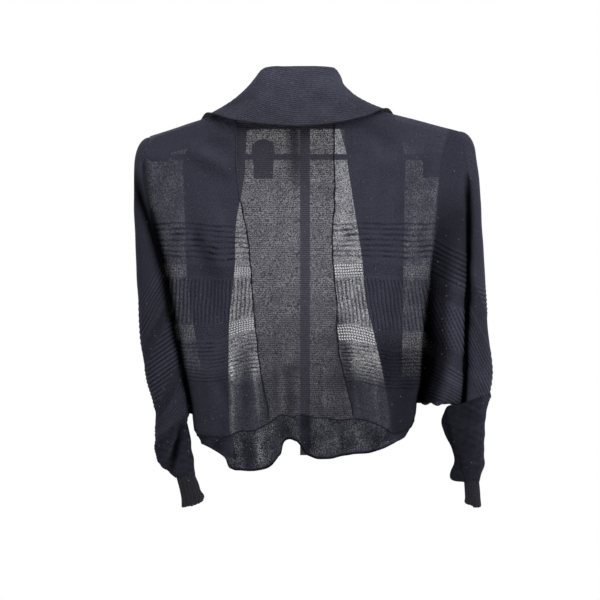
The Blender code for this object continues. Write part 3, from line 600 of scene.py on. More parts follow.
def body_depth(x: Array, height: Array, layer: Layer) -> Array:
    """How far a layer of the body lies from the middle plane.

    Formula: (floor + (full - floor) arch(t)) share + full (1 - share), with t the way from the body's middle
    to its side; the back adds its folds times arch(t).

    Args:
        x: across, in millimetres.
        height: in millimetres.
        layer: the back or the front.

    Returns:
        The distance from the plane y = 0.
    """
    t = np.clip((x - body_middle(height)) / body_half(height), -1, 1)
    left = x < body_middle(height)
    share = np.where(left, share_open(height, LEFT_FOLD), share_open(height, RIGHT_SIDE_FOLD))
    full = depth(layer.word, height)
    floor = fold_floor(height)
    reach = (floor + (full - floor) * arch(t)) * share + full * (1 - share)
    if layer is Layer.BACK:
        reach = reach + fold_relief(x, height) * arch(t)
    return reach


def body_pattern(x: Array, z: Array) -> tuple[Array, Array]:
    """The pattern's coordinates on the body.

    Formula: q = z minus a rise of 13 mm toward the left panel seam, plus a dip of 10 mm away from the right
    one, both fading out above the ribs; the left upper ridges fall by 5 mm toward their seam; u = x leaned
    along the seams; soft waves are added to both.

    Args:
        x: across, in millimetres.
        z: height, in millimetres.

    Returns:
        u along the courses and q across them, in millimetres.
    """
    low = PATTERN_LOW.below(z)
    rise = 13 * RISE_ACROSS.above(x) * (x < 0)
    dip = 10 * DIP_ACROSS.above(x) * (x > 0)
    q = z - (rise - dip) * low + 1.2 * waves(x, z, 90, 5)
    lean = np.where(x > 0, 0.14, -0.05)
    q = q + 0.9 * waves(x, z, 44, 17) + 0.35 * waves(x, z, 15, 19)
    q = q + 5 * FALL_ACROSS.above(x) * FALL_FROM.above(z) * (x < 0)
    return x + lean * z + 0.5 * waves(x, z, 30, 23), q


def sleeve_pattern(side: Side, x: Array, z: Array) -> tuple[Array, Array]:
    """The pattern's coordinates on a sleeve, whose courses slant down and outwards.

    Formula: q = c + stretch (z + slope |x - crease(z)| + shift - c) with c the centre, plus soft waves;
    u runs square to it.

    Args:
        side: the wing.
        x: across, in millimetres.
        z: height, in millimetres.

    Returns:
        u along the courses and q across them, in millimetres.
    """
    tables = side.tables
    away = np.abs(x - curve(tables.lines["sleeve"], z))
    q = z + tables.slope * away + tables.shift + 1.6 * waves(x, z, 60, 9) - SLEEVE_CENTRE
    u = (side.value * x + tables.slope * z) / math.hypot(1, tables.slope)
    return u, SLEEVE_CENTRE + q * tables.stretch


def pouch_pattern(x: Array, z: Array) -> tuple[Array, Array]:
    """The pattern's coordinates on the pouch: q = z + 30 + 0.5 (x - 180) + waves, and u leans with it."""
    return x + 0.45 * z, z + 30 + 0.5 * (x - 180) + 1.0 * waves(x, z, 40, 3)


def knit_relief(u: Array, q: Array) -> Columns:
    """What the bands of pattern do to the cloth.

    Formula: raised = ridge height * wave^0.8 in the ridge bands + rib height * wave in the rib band, less
    0.5 in the lace bands; dense = (1 - wave)^3 is the narrow dense line beside each ridge and rib, which the
    wing darkens with painted shade; lace is 1 in the two lace bands. Soft waves make the ridges uneven.

    Args:
        u: along the courses, in millimetres.
        q: across the courses, in millimetres.

    Returns:
        raised, dense and lace at each point.
    """
    raised, dense, lace = np.zeros(q.shape), np.zeros(q.shape), np.zeros(q.shape)
    for band, height in ((UPPER_RIDGES, 0.85), (LOWER_RIDGES, 0.75)):
        uneven = 0.8 + 0.2 * waves(u, q, 35, 21)
        raised += band.mask(q) * height * uneven * band.wave(q) ** 0.8
        dense += band.mask(q) * (1 - band.wave(q)) ** 3 * (0.78 + 0.3 * waves(u, q, 26, 27))
    ribs = RIBS.mask(q)
    across = 0.5 + 0.5 * np.cos(2 * math.pi * u / RIBS.pitch)
    raised += ribs * 0.8 * across
    dense += ribs * (1 - across) ** 3
    for band in (UPPER_LACE, LOWER_LACE):
        lace += band.mask(q, 1.0)
        raised -= 0.5 * band.mask(q)
    return raised, dense, lace


def placed(name: str, data: bpy.types.ID) -> Thing:
    """Places data in the scene.

    Args:
        name: the object's name.
        data: its mesh, light or camera.

    Returns:
        The new object.
    """
    made = bpy.data.objects.new(name, data)
    bpy.context.scene.collection.objects.link(made)
    return made


@dataclass
class Weave:
    """Grids of points, in millimetres, that are joined into one mesh with its knit attributes."""

    name: str
    points: list[Array] = field(default_factory=list)
    uvs: list[Array] = field(default_factory=list)
    values: dict[str, list[Array]] = field(default_factory=lambda: {k: [] for k in WEAVE_VALUES})
    faces: list[Array] = field(default_factory=list)
    count: int = 0

    def grid(self, points: Array, uv: Array, flip: bool = False, **values: Array | float) -> None:
        """Adds a grid.

        Args:
            points: rows by columns by 3.
            uv: rows by columns by 2, the pattern's coordinates in millimetres.
            flip: True turns the faces round, so that they face outwards.
            values: lift along the normal, cover (how much light is held back), lace and tone (painted light
                and
            shade, with random mottling and the seams' dark lines), by name.
        """
        rows, columns = points.shape[:2]
        index = np.arange(rows * columns).reshape(rows, columns) + self.count
        quads = np.stack([index[:-1, :-1], index[1:, :-1], index[1:, 1:], index[:-1, 1:]], -1).reshape(-1, 4)
        self.faces.append(quads[:, ::-1] if flip else quads)
        self.points.append(points.reshape(-1, 3))
        self.uvs.append(uv.reshape(-1, 2))
        for key, start in WEAVE_VALUES.items():
            filled = np.broadcast_to(np.asarray(values.get(key, start), float), (rows, columns))
            self.values[key].append(filled.reshape(-1))
        self.count += rows * columns

    def joined(self) -> Columns:
        """Welds points that lie within 0.02 mm.

        Returns:
            The welded points, the faces over them and the number of each point's welded point.
        """
        loose = np.concatenate(self.points)
        _, index = np.unique(np.round(loose * 50).astype(np.int64), axis=0, return_inverse=True)
        index = index.reshape(-1)
        weight = np.bincount(index)
        welded = np.stack([np.bincount(index, loose[:, k]) / weight for k in range(3)], 1)
        return welded, index[np.concatenate(self.faces)], index

    def build(self, look: Material) -> Thing:
        """Makes the object: weld, lift each point along its normal, and store UVs and attributes.

        Args:
            look: its finish.

        Returns:
            The object.
        """
        points, faces, index = self.joined()
        corners = points[faces]
        square = np.cross(corners[:, 2] - corners[:, 0], corners[:, 3] - corners[:, 1])
        normal = unit(np.stack([sum(np.bincount(faces[:, c], square[:, k], len(points)) for c in range(4))
                                for k in range(3)], 1), 1e-9)
        weight = np.bincount(index)
        averaged = {key: np.bincount(index, np.concatenate(v)) / weight for key, v in self.values.items()}
        points = points + normal * averaged["lift"][:, None]
        loose_faces = np.concatenate(self.faces)
        whole = np.array([len(set(face)) == 4 for face in faces.tolist()])
        faces, loose_faces = faces[whole], loose_faces[whole]
        mesh = bpy.data.meshes.new(self.name)
        mesh.from_pydata((points * MM).tolist(), [], faces.tolist())
        layer = mesh.uv_layers.new(name="knit")
        layer.data.foreach_set("uv", (np.concatenate(self.uvs)[loose_faces.reshape(-1)] * MM).ravel())
        for key in ("cover", "lace", "tone"):
            attribute = mesh.attributes.new(key, "FLOAT", "POINT")
            attribute.data.foreach_set("value", averaged[key].astype(np.float32))
        mesh.shade_smooth()
        mesh.materials.append(look)
        return placed(self.name, mesh)


def rolled(rows: Array, radius: float, turn: float, outward: float, steps: int = 7) -> Array:
    """Carries a grid on past its last row in a roll.

    Formula: row k = edge + r (sin(a) d + (1 - cos(a)) n), with a = turn k / steps, d the way the cloth was
    going and n the outward normal of its last rows.

    Args:
        rows: rows by columns by 3, ending at the edge.
        radius: of the roll, in millimetres.
        turn: how far it rolls, in radians.
        outward: 1 or -1, the side to which it rolls.
        steps: the number of new rows.

    Returns:
        The grid with the new rows.
    """
    going = unit(rows[-1] - rows[-3])
    along = np.gradient(rows[-1], axis=0)
    out = unit(np.cross(going, along)) * outward
    angle = (turn * np.arange(1, steps + 1) / steps)[:, None, None]
    extra = rows[-1] + radius * (np.sin(angle) * going + (1 - np.cos(angle)) * out)
    return np.concatenate([rows, extra])


class Graph:
    """A small builder of a Principled material's nodes."""

    def __init__(self, name: str) -> None:
        """Makes the material with its Principled shader.

        Args:
            name: the material's name.
        """
        self.material = bpy.data.materials.new(name)
        self.material.use_nodes = True
        self.tree = self.material.node_tree
        self.shader = self.tree.nodes["Principled BSDF"]

    def node(self, kind: str, inputs: dict | None = None, **settings: object) -> bpy.types.Node:
        """Adds a node.

        Args:
            kind: the node's type name without "ShaderNode".
            inputs: sockets or plain values by input name or number.
            settings: the node's own settings.

        Returns:
            The node.
        """
        made = self.tree.nodes.new("ShaderNode" + kind)
        for key, value in settings.items():
            setattr(made, key, value)
        for key, value in (inputs or {}).items():
            self.feed(made.inputs[key], value)
        return made

    def feed(self, socket: Socket, value: object) -> None:
        """Links a socket or sets a plain value.

        Args:
            socket: the input.
            value: what it takes.
        """
        if isinstance(value, Socket):
            self.tree.links.new(value, socket)
        else:
            socket.default_value = value

    def math(self, operation: str, a: object, b: object = 0.0, clamp: bool = False) -> Socket:
        """The result of a Math node."""
        return self.node("Math", {0: a, 1: b}, operation=operation, use_clamp=clamp).outputs[0]

    def add(self, a: object, b: object) -> Socket:
        """a + b."""
        return self.math("ADD", a, b)

    def minus(self, a: object, b: object) -> Socket:
        """a - b."""
        return self.math("SUBTRACT", a, b)

    def times(self, a: object, b: object) -> Socket:
        """a times b."""
        return self.math("MULTIPLY", a, b)

    def smooth(self, value: object, low: float, high: float) -> Socket:
        """A smooth step of value from low to high."""
        inputs = {0: value, 1: low, 2: high, 3: 0.0, 4: 1.0}
        return self.node("MapRange", inputs, interpolation_type="SMOOTHSTEP").outputs[0]

    def attribute(self, name: str) -> Socket:
        """A float attribute of the mesh."""
        return self.node("Attribute", attribute_name=name).outputs["Fac"]

    def noise(self, scale: float, detail: float = 2.0) -> Socket:
        """Noise in object coordinates.

        Args:
            scale: features a metre.
            detail: octaves of finer noise.

        Returns:
            From 0 to 1.
        """
        place = self.node("TexCoord").outputs["Object"]
        inputs = {"Vector": place, "Scale": scale, "Detail": detail, "Roughness": 0.6}
        return self.node("TexNoise", inputs).outputs["Fac"]

    def tinted(self, colour: tuple[float, float, float], shade: Socket) -> Socket:
        """The colour times a shade."""
        return self.node("VectorMath", {0: colour, "Scale": shade}, operation="SCALE").outputs[0]

    def bump(self, height: Socket, distance: float, strength: float) -> None:
        """Puts a bump of the height on the shader."""
        made = self.node("Bump", {"Height": height, "Distance": distance, "Strength": strength})
        self.feed(self.shader.inputs["Normal"], made.outputs[0])


@dataclass(frozen=True)
class KnitFinish:
    """A sheer or dense knit: its colour, how uneven it lets light through, and the size of its stitches."""

    name: str
    colour: tuple[float, float, float]
    grain: float
    course: float
    course_depth: float
    stripe: float = 0.06
    lint: float = 0.4
    sheen: float = 0.10
    speckle: float = 0.6
    roughness: float = 0.92
    sheen_tint: tuple[float, float, float, float] = (0.72, 0.76, 1.0, 1.0)
    lint_colour: tuple[float, float, float, float] = (0.30, 0.30, 0.34, 1.0)

    def make(self) -> Material:
        """Builds the material.

        Formula: alpha = (1 - (1 - cover) max(0, 1 + 2 grain n + grain p + course_depth w)) (1 - hole), with n
        fine noise, p broad noise and w = sin(2 pi q / course); the colour is scaled by
        tone (1 + speckle n) (1 + stripe w). The tone carries painted light and shade, and it also scales the
        sheen and the specular. Cover, lace and tone are attributes of the mesh, and the UV map holds u and q.

        Returns:
            The material.
        """
        g = Graph(self.name)
        parts = g.node("SeparateXYZ", {0: g.node("UVMap", uv_map="knit").outputs[0]})
        u, q = (g.times(parts.outputs[k], 1 / MM) for k in (0, 1))
        courses = g.math("SINE", g.times(q, 2 * math.pi / self.course))
        grain = g.minus(g.smooth(g.noise(720.0), 0.3, 0.7), 0.5)
        patches = g.minus(g.noise(110.0), 0.5)
        hole = self.hole(g, u, q)
        thin = g.add(g.times(grain, 2 * self.grain), g.times(patches, self.grain))
        thin = g.add(g.add(thin, g.times(courses, self.course_depth)), 1.0)
        through = g.times(g.minus(1.0, g.attribute("cover")), g.math("MAXIMUM", thin, 0.0))
        cover = g.math("SUBTRACT", 1.0, through, clamp=True)
        shade = g.times(g.attribute("tone"), g.add(g.times(grain, self.speckle), 1.0))
        shade = g.times(shade, g.add(g.times(courses, self.stripe), 1.0))
        inputs = {
            "Alpha": g.math("MULTIPLY", cover, g.minus(1.0, hole), clamp=True),
            "Base Color": self.linted(g, g.tinted(self.colour, shade)),
            "Roughness": self.roughness,
            "Specular IOR Level": g.times(g.attribute("tone"), 0.08),
            "Sheen Weight": g.times(g.attribute("tone"), self.sheen),
            "Sheen Roughness": 0.5,
            "Sheen Tint": self.sheen_tint,
        }
        for key, value in inputs.items():
            g.feed(g.shader.inputs[key], value)
        g.bump(g.add(g.times(courses, 0.35), g.times(grain, 0.8)), 0.0004, 0.6)
        return g.material

    def hole(self, g: Graph, u: Socket, q: Socket) -> Socket:
        """How open the lace is.

        Formula: an ellipse (a LACE_ROUND[0])^2 + (b LACE_ROUND[1])^2 in each cell of LACE_COLUMN by LACE_ROW,
        slanted to the left and to the right by turns, times the lace attribute and LACE_OPEN.

        Args:
            g: the material's nodes.
            u: along the courses, in millimetres.
            q: across the courses, in millimetres.

        Returns:
            From 0, shut, to LACE_OPEN.
        """
        row_place = g.math("DIVIDE", q, LACE_ROW)
        row = g.math("FLOOR", row_place)
        b = g.minus(g.minus(row_place, row), 0.5)
        slant = g.minus(g.times(g.math("PINGPONG", row, 1.0), 2.0), 1.0)
        leaned = g.times(g.times(slant, b), LACE_SLANT)
        a = g.minus(g.math("FRACT", g.add(g.math("DIVIDE", u, LACE_COLUMN), leaned)), 0.5)
        a2, b2 = (g.math("POWER", g.times(*pair), 2.0) for pair in zip((a, b), LACE_ROUND))
        open_part = g.minus(1.0, g.smooth(g.add(a2, b2), *LACE_EDGE))
        return g.times(g.times(open_part, g.attribute("lace")), LACE_OPEN)

    def linted(self, g: Graph, colour: Socket) -> Socket:
        """The colour with small pale flecks of lint.

        Args:
            g: the material's nodes.
            colour: without the lint.

        Returns:
            The colour with a spot in one Voronoi cell of six.
        """
        flecks = g.node("TexVoronoi", {"Vector": g.node("TexCoord").outputs["Object"], "Scale": 190.0})
        cell = g.node("SeparateXYZ", {0: flecks.outputs["Color"]}).outputs[0]
        chosen = g.math("GREATER_THAN", cell, 0.84)
        spot = g.times(g.math("LESS_THAN", flecks.outputs["Distance"], 0.12), chosen)
        inputs = {0: g.times(spot, self.lint), 6: colour, 7: self.lint_colour}
        return g.node("Mix", inputs, data_type="RGBA").outputs[2]


@dataclass(frozen=True)
class PlasticFinish:
    """A dark moulded plastic with a fine uneven surface."""

    name: str
    colour: tuple[float, float, float]
    roughness: float

    def make(self) -> Material:
        """Builds the material: one colour, uneven in colour and roughness, and a fine bump.

        Returns:
            The material.
        """
        g = Graph(self.name)
        grain, wide = g.minus(g.noise(900.0), 0.5), g.minus(g.noise(40.0), 0.5)
        shade = g.add(g.times(g.add(grain, wide), 0.25), 1.0)
        g.feed(g.shader.inputs["Base Color"], g.tinted(self.colour, shade))
        g.feed(g.shader.inputs["Roughness"], g.add(g.times(wide, 0.15), self.roughness))
        g.bump(grain, 0.0002, 0.25)
        return g.material


@dataclass(frozen=True)
class Cut:
    """What a maker cuts for a sheet of knit: width, length and area flat, and how it is held."""

    width: float
    length: float
    area: float
    hold: Hold
    rests_on: tuple[str, ...]

    def declare(self, made: Thing, slot: str, nodes: Sequence[str], trims: Sequence[Thing] = ()) -> None:
        """Rides the piece and its trims on the body, hides the CAD nodes it stands for and logs its faces.

        Args:
            made: the sheet's object.
            slot: not used.
            nodes: the CAD nodes it stands for.
            trims: the cords on it.
        """
        for piece in (made, *trims):
            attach(piece, "root")
        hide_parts(*nodes)
        list(self.rests_on)
        LOG.info("%s: %d faces", made.name, len(made.data.polygons))


@dataclass
class SeamCord:
    """A raised seam: a thin round ridge of thread along a path on the cloth, paler from a height up."""

    name: str
    path: Array
    radius: float = 0.9
    sides: int = 7
    pale_from: float = 1000.0

    def build(self, look: Material) -> Thing:
        """Makes the tube.

        Formula: path(s) + r(s) (cos(a) n + sin(a) b), with r a little uneven along the way.

        Args:
            look: its finish.

        Returns:
            The object.
        """
        along = unit(np.gradient(self.path, axis=0))
        across = unit(np.cross(along, np.array((0.0, 1.0, 0.0))))
        out = np.cross(across, along)
        s = np.arange(len(self.path))
        radius = self.radius * (1 + 0.18 * np.sin(s * 1.1) + 0.12 * np.sin(s * 0.37))[:, None, None]
        angle = np.linspace(0, 2 * math.pi, self.sides + 1)[None, :, None]
        rows = self.path[:, None] + radius * (np.cos(angle) * across[:, None] + np.sin(angle) * out[:, None])
        weave = Weave(self.name)
        uv = np.stack(np.broadcast_arrays(s[:, None] * 1.0, angle[:, :, 0]), -1)
        pale = Edge(self.pale_from, 14).above(rows[..., 2])
        weave.grid(rows, uv, cover=1 - 0.12 * pale, tone=0.6 + 1.3 * pale)
        return weave.build(look)


@dataclass
class Wing:
    """A wing in one with its sleeve: a back and a front layer joined over the shoulder and at the side."""

    side: Side
    cut: Cut
    back_columns: int = 104
    front_columns: int = 66
    pouch_columns: int = 30
    sleeve_columns: int = 34
    row_step: float = 1.2

    def parts(self) -> Array:
        """The wing's rows, closer in the pattern.

        Returns:
            How far down each row is, from 0 on the shoulder to 1 at the underarm.
        """
        drops = np.concatenate([[0, 0.4, 1, 1.8, 2.8, 4, 5.5, 7.5, 10], np.arange(12.5, 105, 2.5),
                                np.arange(105, WING_DROP - 0.6, self.row_step), [WING_DROP]])
        return (drops / WING_DROP)[:, None]

    def line(self, name: str, part: Array) -> tuple[Array, Array]:
        """Reads one of the wing's lines.

        Args:
            name: of the line.
            part: of the way down.

        Returns:
            The x and the height.
        """
        table = self.side.lines[name]
        inner, outer = self.side.tables.underarm
        low = {"outer": outer, "sleeve": inner + 1, "pouch_out": inner}.get(name, inner)
        height = table[0][0] + (low - table[0][0]) * part
        return curve(table, height), height

    def body(self, layer: Layer, part: Array, drop: Array) -> Columns:
        """The body's columns of the wing.

        Formula: x = middle + t half with t from the seam to the side, z runs straight between the two lines,
        and y = body depth * crown.

        Args:
            layer: the back or the front.
            part: how far down each row is.
            drop: how far each row lies below the shoulder line, in millimetres.

        Returns:
            x, the distance from the middle plane and the height.
        """
        inner_x, inner_z = self.line("seam" if layer is Layer.BACK else "edge", part)
        side_x, side_z = self.line("side", part)
        middle, half = body_middle(side_z), body_half(side_z)
        count = self.back_columns if layer is Layer.BACK else self.front_columns
        s = np.linspace(0, 1, count + 1)[None, :]
        first = (inner_x - middle) / half
        t = first + (self.side.value - first) * (1 - (1 - s) ** 1.4)
        x = middle + t * half
        z = inner_z + (side_z - inner_z) * (x - inner_x) / (side_x - inner_x)
        return x, body_depth(x, z, layer) * crown(drop), z

    def pouch(self, layer: Layer, part: Array, floors: tuple[Array, Array], full: Array) -> Columns:
        """The pouch's columns, a lobe between two folds that closes below, with a ragged lower edge.

        Formula: y = (floor + (full - floor) arch(2 t - 1)) closing, with t across the pouch.

        Args:
            layer: the back or the front.
            part: how far down each row is.
            floors: the half depths at its two folds.
            full: the half depth in its middle.

        Returns:
            x, the distance from the middle plane and the height.
        """
        start, end = self.line("pouch_in", part), self.line("pouch_out", part)
        t = spaced(self.pouch_columns)
        x = start[0] + (end[0] - start[0]) * t
        z = start[1] + (end[1] - start[1]) * t
        floor = floors[0] + (floors[1] - floors[0]) * t
        y = (floor + (full - floor) * arch(2 * t - 1)) * closing(part, 0.86, 0.14)
        ragged = 2.2 * waves(x, layer.value * 30 + 0 * x, 17, 4) - 1.0
        return x, y, z + ragged * step((part - 0.97) / 0.03)

    def sleeve(self, part: Array, last: Array, drop: Array, side_z: Array) -> Columns:
        """The sleeve's columns: a lobe where the fold is open, and a rounded continuation of the body above.

        Args:
            part: how far down each row is.
            last: the half depth of the cloth beside the sleeve.
            drop: how far each row lies below the shoulder line, in millimetres.
            side_z: the height on the body's side.

        Returns:
            x, the distance from the middle plane and the height.
        """
        start, end = self.line("sleeve", part), self.line("outer", part)
        full = depth("sleeve", start[1]) * crown(drop * 0.9)
        t = spaced(self.sleeve_columns)
        corner = np.clip(1 - part / 0.12, 0, 1)
        across = t + (np.sin(t * math.pi / 2) - t) * corner
        down = t + (1 - np.cos(t * math.pi / 2) - t) * corner
        x = start[0] + (end[0] - start[0]) * across
        z = start[1] + (end[1] - start[1]) * down
        share = share_open(side_z, self.side.tables.sleeve_fold)
        floor = FOLD_FLOOR * (1 - t)
        lobed = floor + (full - floor) * arch(2 * t - 1)
        whole = (last + (full - last) * t) * arch(t)
        return x, lobed * share + whole * (1 - share), z

    def upper(self, layer: Layer) -> dict[str, Columns]:
        """The columns above the underarm.

        Args:
            layer: the back or the front.

        Returns:
            By zone, x, the distance from the middle plane and the height.
        """
        part = self.parts()
        side_z = self.line("side", part)[1]
        drop = self.side.lines["side"][0][0] - side_z
        zones = {"body": self.body(layer, part, drop)}
        shut = closing(part, 0.97, 0.03)
        y = zones["body"][1]
        last = y[:, -1:].copy()
        y[:, -1:] *= shut
        if self.side is Side.RIGHT:
            full = depth("pouch", self.line("pouch_in", part)[1]) * crown(drop)
            share = share_open(side_z, RIGHT_SLEEVE_FOLD)
            second = FOLD_FLOOR * share
            second = second + full * (1 - share)
            full = np.maximum(full, last * (1 - share_open(side_z, RIGHT_SIDE_FOLD)))
            zones["pouch"] = self.pouch(layer, part, (last, second), full)
            last = second
        zones["sleeve"] = self.sleeve(part, last, drop, side_z)
        zones["sleeve"][1][:, :1] *= shut
        return zones

    def lower(self, layer: Layer, x0: Array, z0: Array, count: int = 26) -> Columns:
        """The body's columns from the underarm down to the hem seam, kept on the seam or the front edge.

        Args:
            layer: the back or the front.
            x0: across, at the underarm's row.
            z0: height, at the underarm's row.
            count: the number of new rows.

        Returns:
            x, the distance from the middle plane and the height.
        """
        s = (np.arange(count + 1) / count)[:, None]
        low = hem_height(layer, x0, "seam") + SEAM_GAP / 2
        height = z0 + (low - z0) * s
        t = np.clip((x0 - body_middle(z0)) / body_half(z0), -1, 1)
        inner = self.side.lines["seam" if layer is Layer.BACK else "edge"]
        shift = curve(inner, height) - body_middle(height) - t[0] * body_half(height)
        sign = self.side.value
        x = body_middle(height) + t * body_half(height) + shift * (sign - t) / (sign - t[0])
        y = body_depth(x, height, layer)
        y[:, -1] = 0
        return x, y, height

    def forearm(self, first: Array, layer: Layer, count: int = 70) -> Array:
        """The forearm's rings, smooth between the underarm's row and the rows of the ring table.

        Args:
            first: the sleeve's points on the underarm's row.
            layer: the back or the front.
            count: the number of rings.

        Returns:
            Rings by columns by 3.
        """
        rings = np.array(self.side.tables.rings, float)
        t = spaced(self.sleeve_columns)
        x = rings[:, 0:1] + (rings[:, 2:3] - rings[:, 0:1]) * t
        z = rings[:, 1:2] + (rings[:, 3:4] - rings[:, 1:2]) * t
        y = layer.value * rings[:, 4:5] * arch(2 * t - 1, 2.2)
        keys = np.concatenate([first[None], np.stack([x, y, z], -1)])
        return smooth_rows(keys, np.linspace(0, len(keys) - 1, count))

    def shadow(self, name: str, x: Array, z: Array) -> Array:
        """How dark the shadow of one fold is.

        Formula: share exp(-((x - line - shift) / width)^2). On the left the three come from the shadow's
        tables; on the right the share is how open the fold is, and the width grows above SHADOW_WIDE.

        Args:
            name: of the fold's line.
            x: across, in millimetres.
            z: height, in millimetres.

        Returns:
            From 0 to 1.
        """
        if self.side is Side.LEFT:
            width, shift = straight(LEFT_SHADOW_WIDTH, z), straight(LEFT_SHADOW_SHIFT, z)
            share = straight(LEFT_SHADOW, z)
        else:
            inner = name in ("side", "pouch_in")
            width, shift = 1.9 + 4.6 * inner * SHADOW_WIDE.above(z), 0.0
            share = share_open(z, RIGHT_SIDE_FOLD if inner else RIGHT_SLEEVE_FOLD)
        return share * np.exp(-(((x - curve(self.side.lines[name], z) - shift) / width) ** 2))

    def body_shades(self, x: Array, z: Array, dark: Array) -> tuple[Array, Array]:
        """The cover and the tone of the body.

        Formula: cover = 1 - through, and through = (sheer + (dull - sheer) low) exp(-1.15 thick)
        (1 - 0.8 dark), with low 1 below DENSE_FROM and thick from the gathers. The tone falls with
        dark, low and thick, and past the right front's edge: painted shade of the fold and painted darkening
        lower down; the thread factor is painted light, higher on the right wing.

        Args:
            x: across, in millimetres.
            z: height, in millimetres.
            dark: the shadow of the fold.

        Returns:
            The cover and the tone.
        """
        tables = self.side.tables
        low = DENSE_FROM.below(z)
        thick = np.clip(creases(x, z, tables.gathers), -1.3, 1.6)
        through = tables.sheer + (tables.dull - tables.sheer) * low
        through = through * np.exp(-1.15 * thick) * (1 - 0.8 * dark)
        tone = 1 - SHADOW_DARK * dark
        # Painted shade: darker below the dense edge, and on the right also past the front's edge
        if self.side is Side.LEFT:
            tone = tone * (1 - 0.55 * np.clip(creases(x, z, WING_LINES), 0, 1))
            dim = 0.34 * low
        else:
            through = through * (1 - 0.75 * SHOULDER_ACROSS.above(x) * SHOULDER.above(z))
            beyond = step((x - curve(tables.lines["edge"], z)) / 4)
            dim = (0.40 + 0.24 * beyond) * RIGHT_DIM_FROM.below(z)
        return 1 - through, tone * (1 - dim) * (1 - 0.13 * thick) * tables.thread

    def shades(self, zone: str, x: Array, z: Array) -> tuple[Array, Array]:
        """How much light the cloth holds back and its painted light and shade, before the pattern.

        Formula: the tone is 1 - SHADOW_DARK times the darkest fold's painted shadow, times a tone for each
        zone.
        The sleeve has painted light above SLEEVE_PAINTED_LIGHT_FROM, the pouch has painted black shade in its
        hollow, and the forearm is darkened with painted shade and mottled by fine waves.

        Args:
            zone: the part of the wing.
            x: across, in millimetres.
            z: height, in millimetres.

        Returns:
            The cover and the tone.
        """
        tables, dark = self.side.tables, np.zeros(x.shape)
        for name in ZONE_FOLDS.get(zone, ()):
            dark = np.maximum(dark, self.shadow(name, x, z))
        if zone == "body":
            return self.body_shades(x, z, dark)
        tone = 1 - SHADOW_DARK * dark
        if zone == "pouch":
            # Painted shade: black in the hollow beside the body, then painted light by height past its rim
            past = x - straight(POUCH_HOLLOW, z)
            lit = 0.14 * HOLLOW_RIM.above(past) + 0.86 * HOLLOW_END.above(past)
            hollow = straight(HOLLOW_PAINTED_SHADE, z)
            return 0.99 + 0 * x, tone * (hollow + (straight(POUCH_PAINTED_LIGHT, z) - hollow) * lit)
        if zone == "sleeve":
            # Painted light: the sleeve is lighter near the shoulder
            base = tables.sleeve_painted_light
            return 0.985 + 0 * x, tone * (base + (1.08 - base) * SLEEVE_PAINTED_LIGHT_FROM.above(z))
        # Painted shade darkens the forearms, with a painted highlight toward the outer side of the right one
        if self.side is Side.LEFT:
            arm = 0.50 + 0 * x
        else:
            arm = 0.34 + 0.22 * ARM_ACROSS.above(x) + 0.14 * ARM_RIM_ACROSS.above(x)
        shade = np.clip(creases(x, z, tables.arm_shade), 0, 1)
        return 0.99 + 0 * x, arm * (1 - shade) * (1 + 0.14 * waves(x, z, 9, 57))

    def fabric(self, zone: str, layer: Layer, x: Array, z: Array) -> dict[str, Array]:
        """The knit in a zone of one layer.

        Formula: lift = raised + creases + waves; cover = base + (1 - base) ((0.6 + 0.35 inside) dense
        - 0.28 inside raised + 0.16 waves), with a denser base in the zigzag; tone = base
        (1 + 0.1 raised - 0.62 dense) (1 + 0.11 creases), outside the body also times 0.9 + 0.3 raised: a
        painted highlight on raised ridges and lifted creases, and painted shade along the dense lines.
        Inside is 1 where only one layer lies, between the panel and the front's edge.

        Args:
            zone: the part of the wing.
            layer: the back or the front.
            x: across, in millimetres.
            z: height, in millimetres.

        Returns:
            The uv, lift, lace, cover and tone.
        """
        tables = self.side.tables
        if zone == "body":
            (u, q), table = body_pattern(x, z), tables.body_creases
        elif zone == "pouch":
            (u, q), table = pouch_pattern(x, z), POUCH_CREASES
        else:
            (u, q), table = sleeve_pattern(self.side, x, z), tables.sleeve_creases
        raised, dense, lace = knit_relief(u, q)
        if zone in ("sleeve", "forearm") and self.side is Side.RIGHT:
            ridged = RIDGES_LOW.above(z) * RIDGES_TOP.below(z)
            raised, dense, lace = raised * ridged, dense * ridged, lace * ridged
        inside = step((curve(tables.lines["edge"], z) - x) * self.side.value / 3)
        if zone == "body" and layer is Layer.BACK:
            lace = lace * (0.55 + tables.lace_inside * inside)
        else:
            lace = lace * (0.3 if zone == "body" else 0.16)
            u, q = u + LACE_COLUMN / 2, q + LACE_ROW / 2
        cover, tone = self.shades(zone, x, z)
        cover = 1 - (1 - cover) * (1 - 0.4 * lace * inside)
        # Painted highlight on the raised ridges outside the body
        tone = tone if zone == "body" else tone * (0.9 + 0.3 * raised)
        folds = creases(x, z, table)
        soft = folds + 0.35 * waves(x, z, 60, 31) + (zone == "forearm") * 0.9 * waves(x, z, 24, 13)
        clear = 0.28 * inside * np.clip(raised, 0, 1)
        denser = (0.6 + 0.35 * inside) * dense - clear + 0.16 * waves(x, z, 30, 41)
        # Painted highlight on ridges and lifted creases, painted shade along the dense lines
        tone = np.clip(tone * (1 + 0.1 * raised - 0.62 * dense) * (1 + 0.11 * folds), 0.01, 2)
        return {"uv": np.stack([u, q], -1), "lift": raised + soft, "lace": lace,
                "cover": cover + (1 - cover) * denser, "tone": tone}

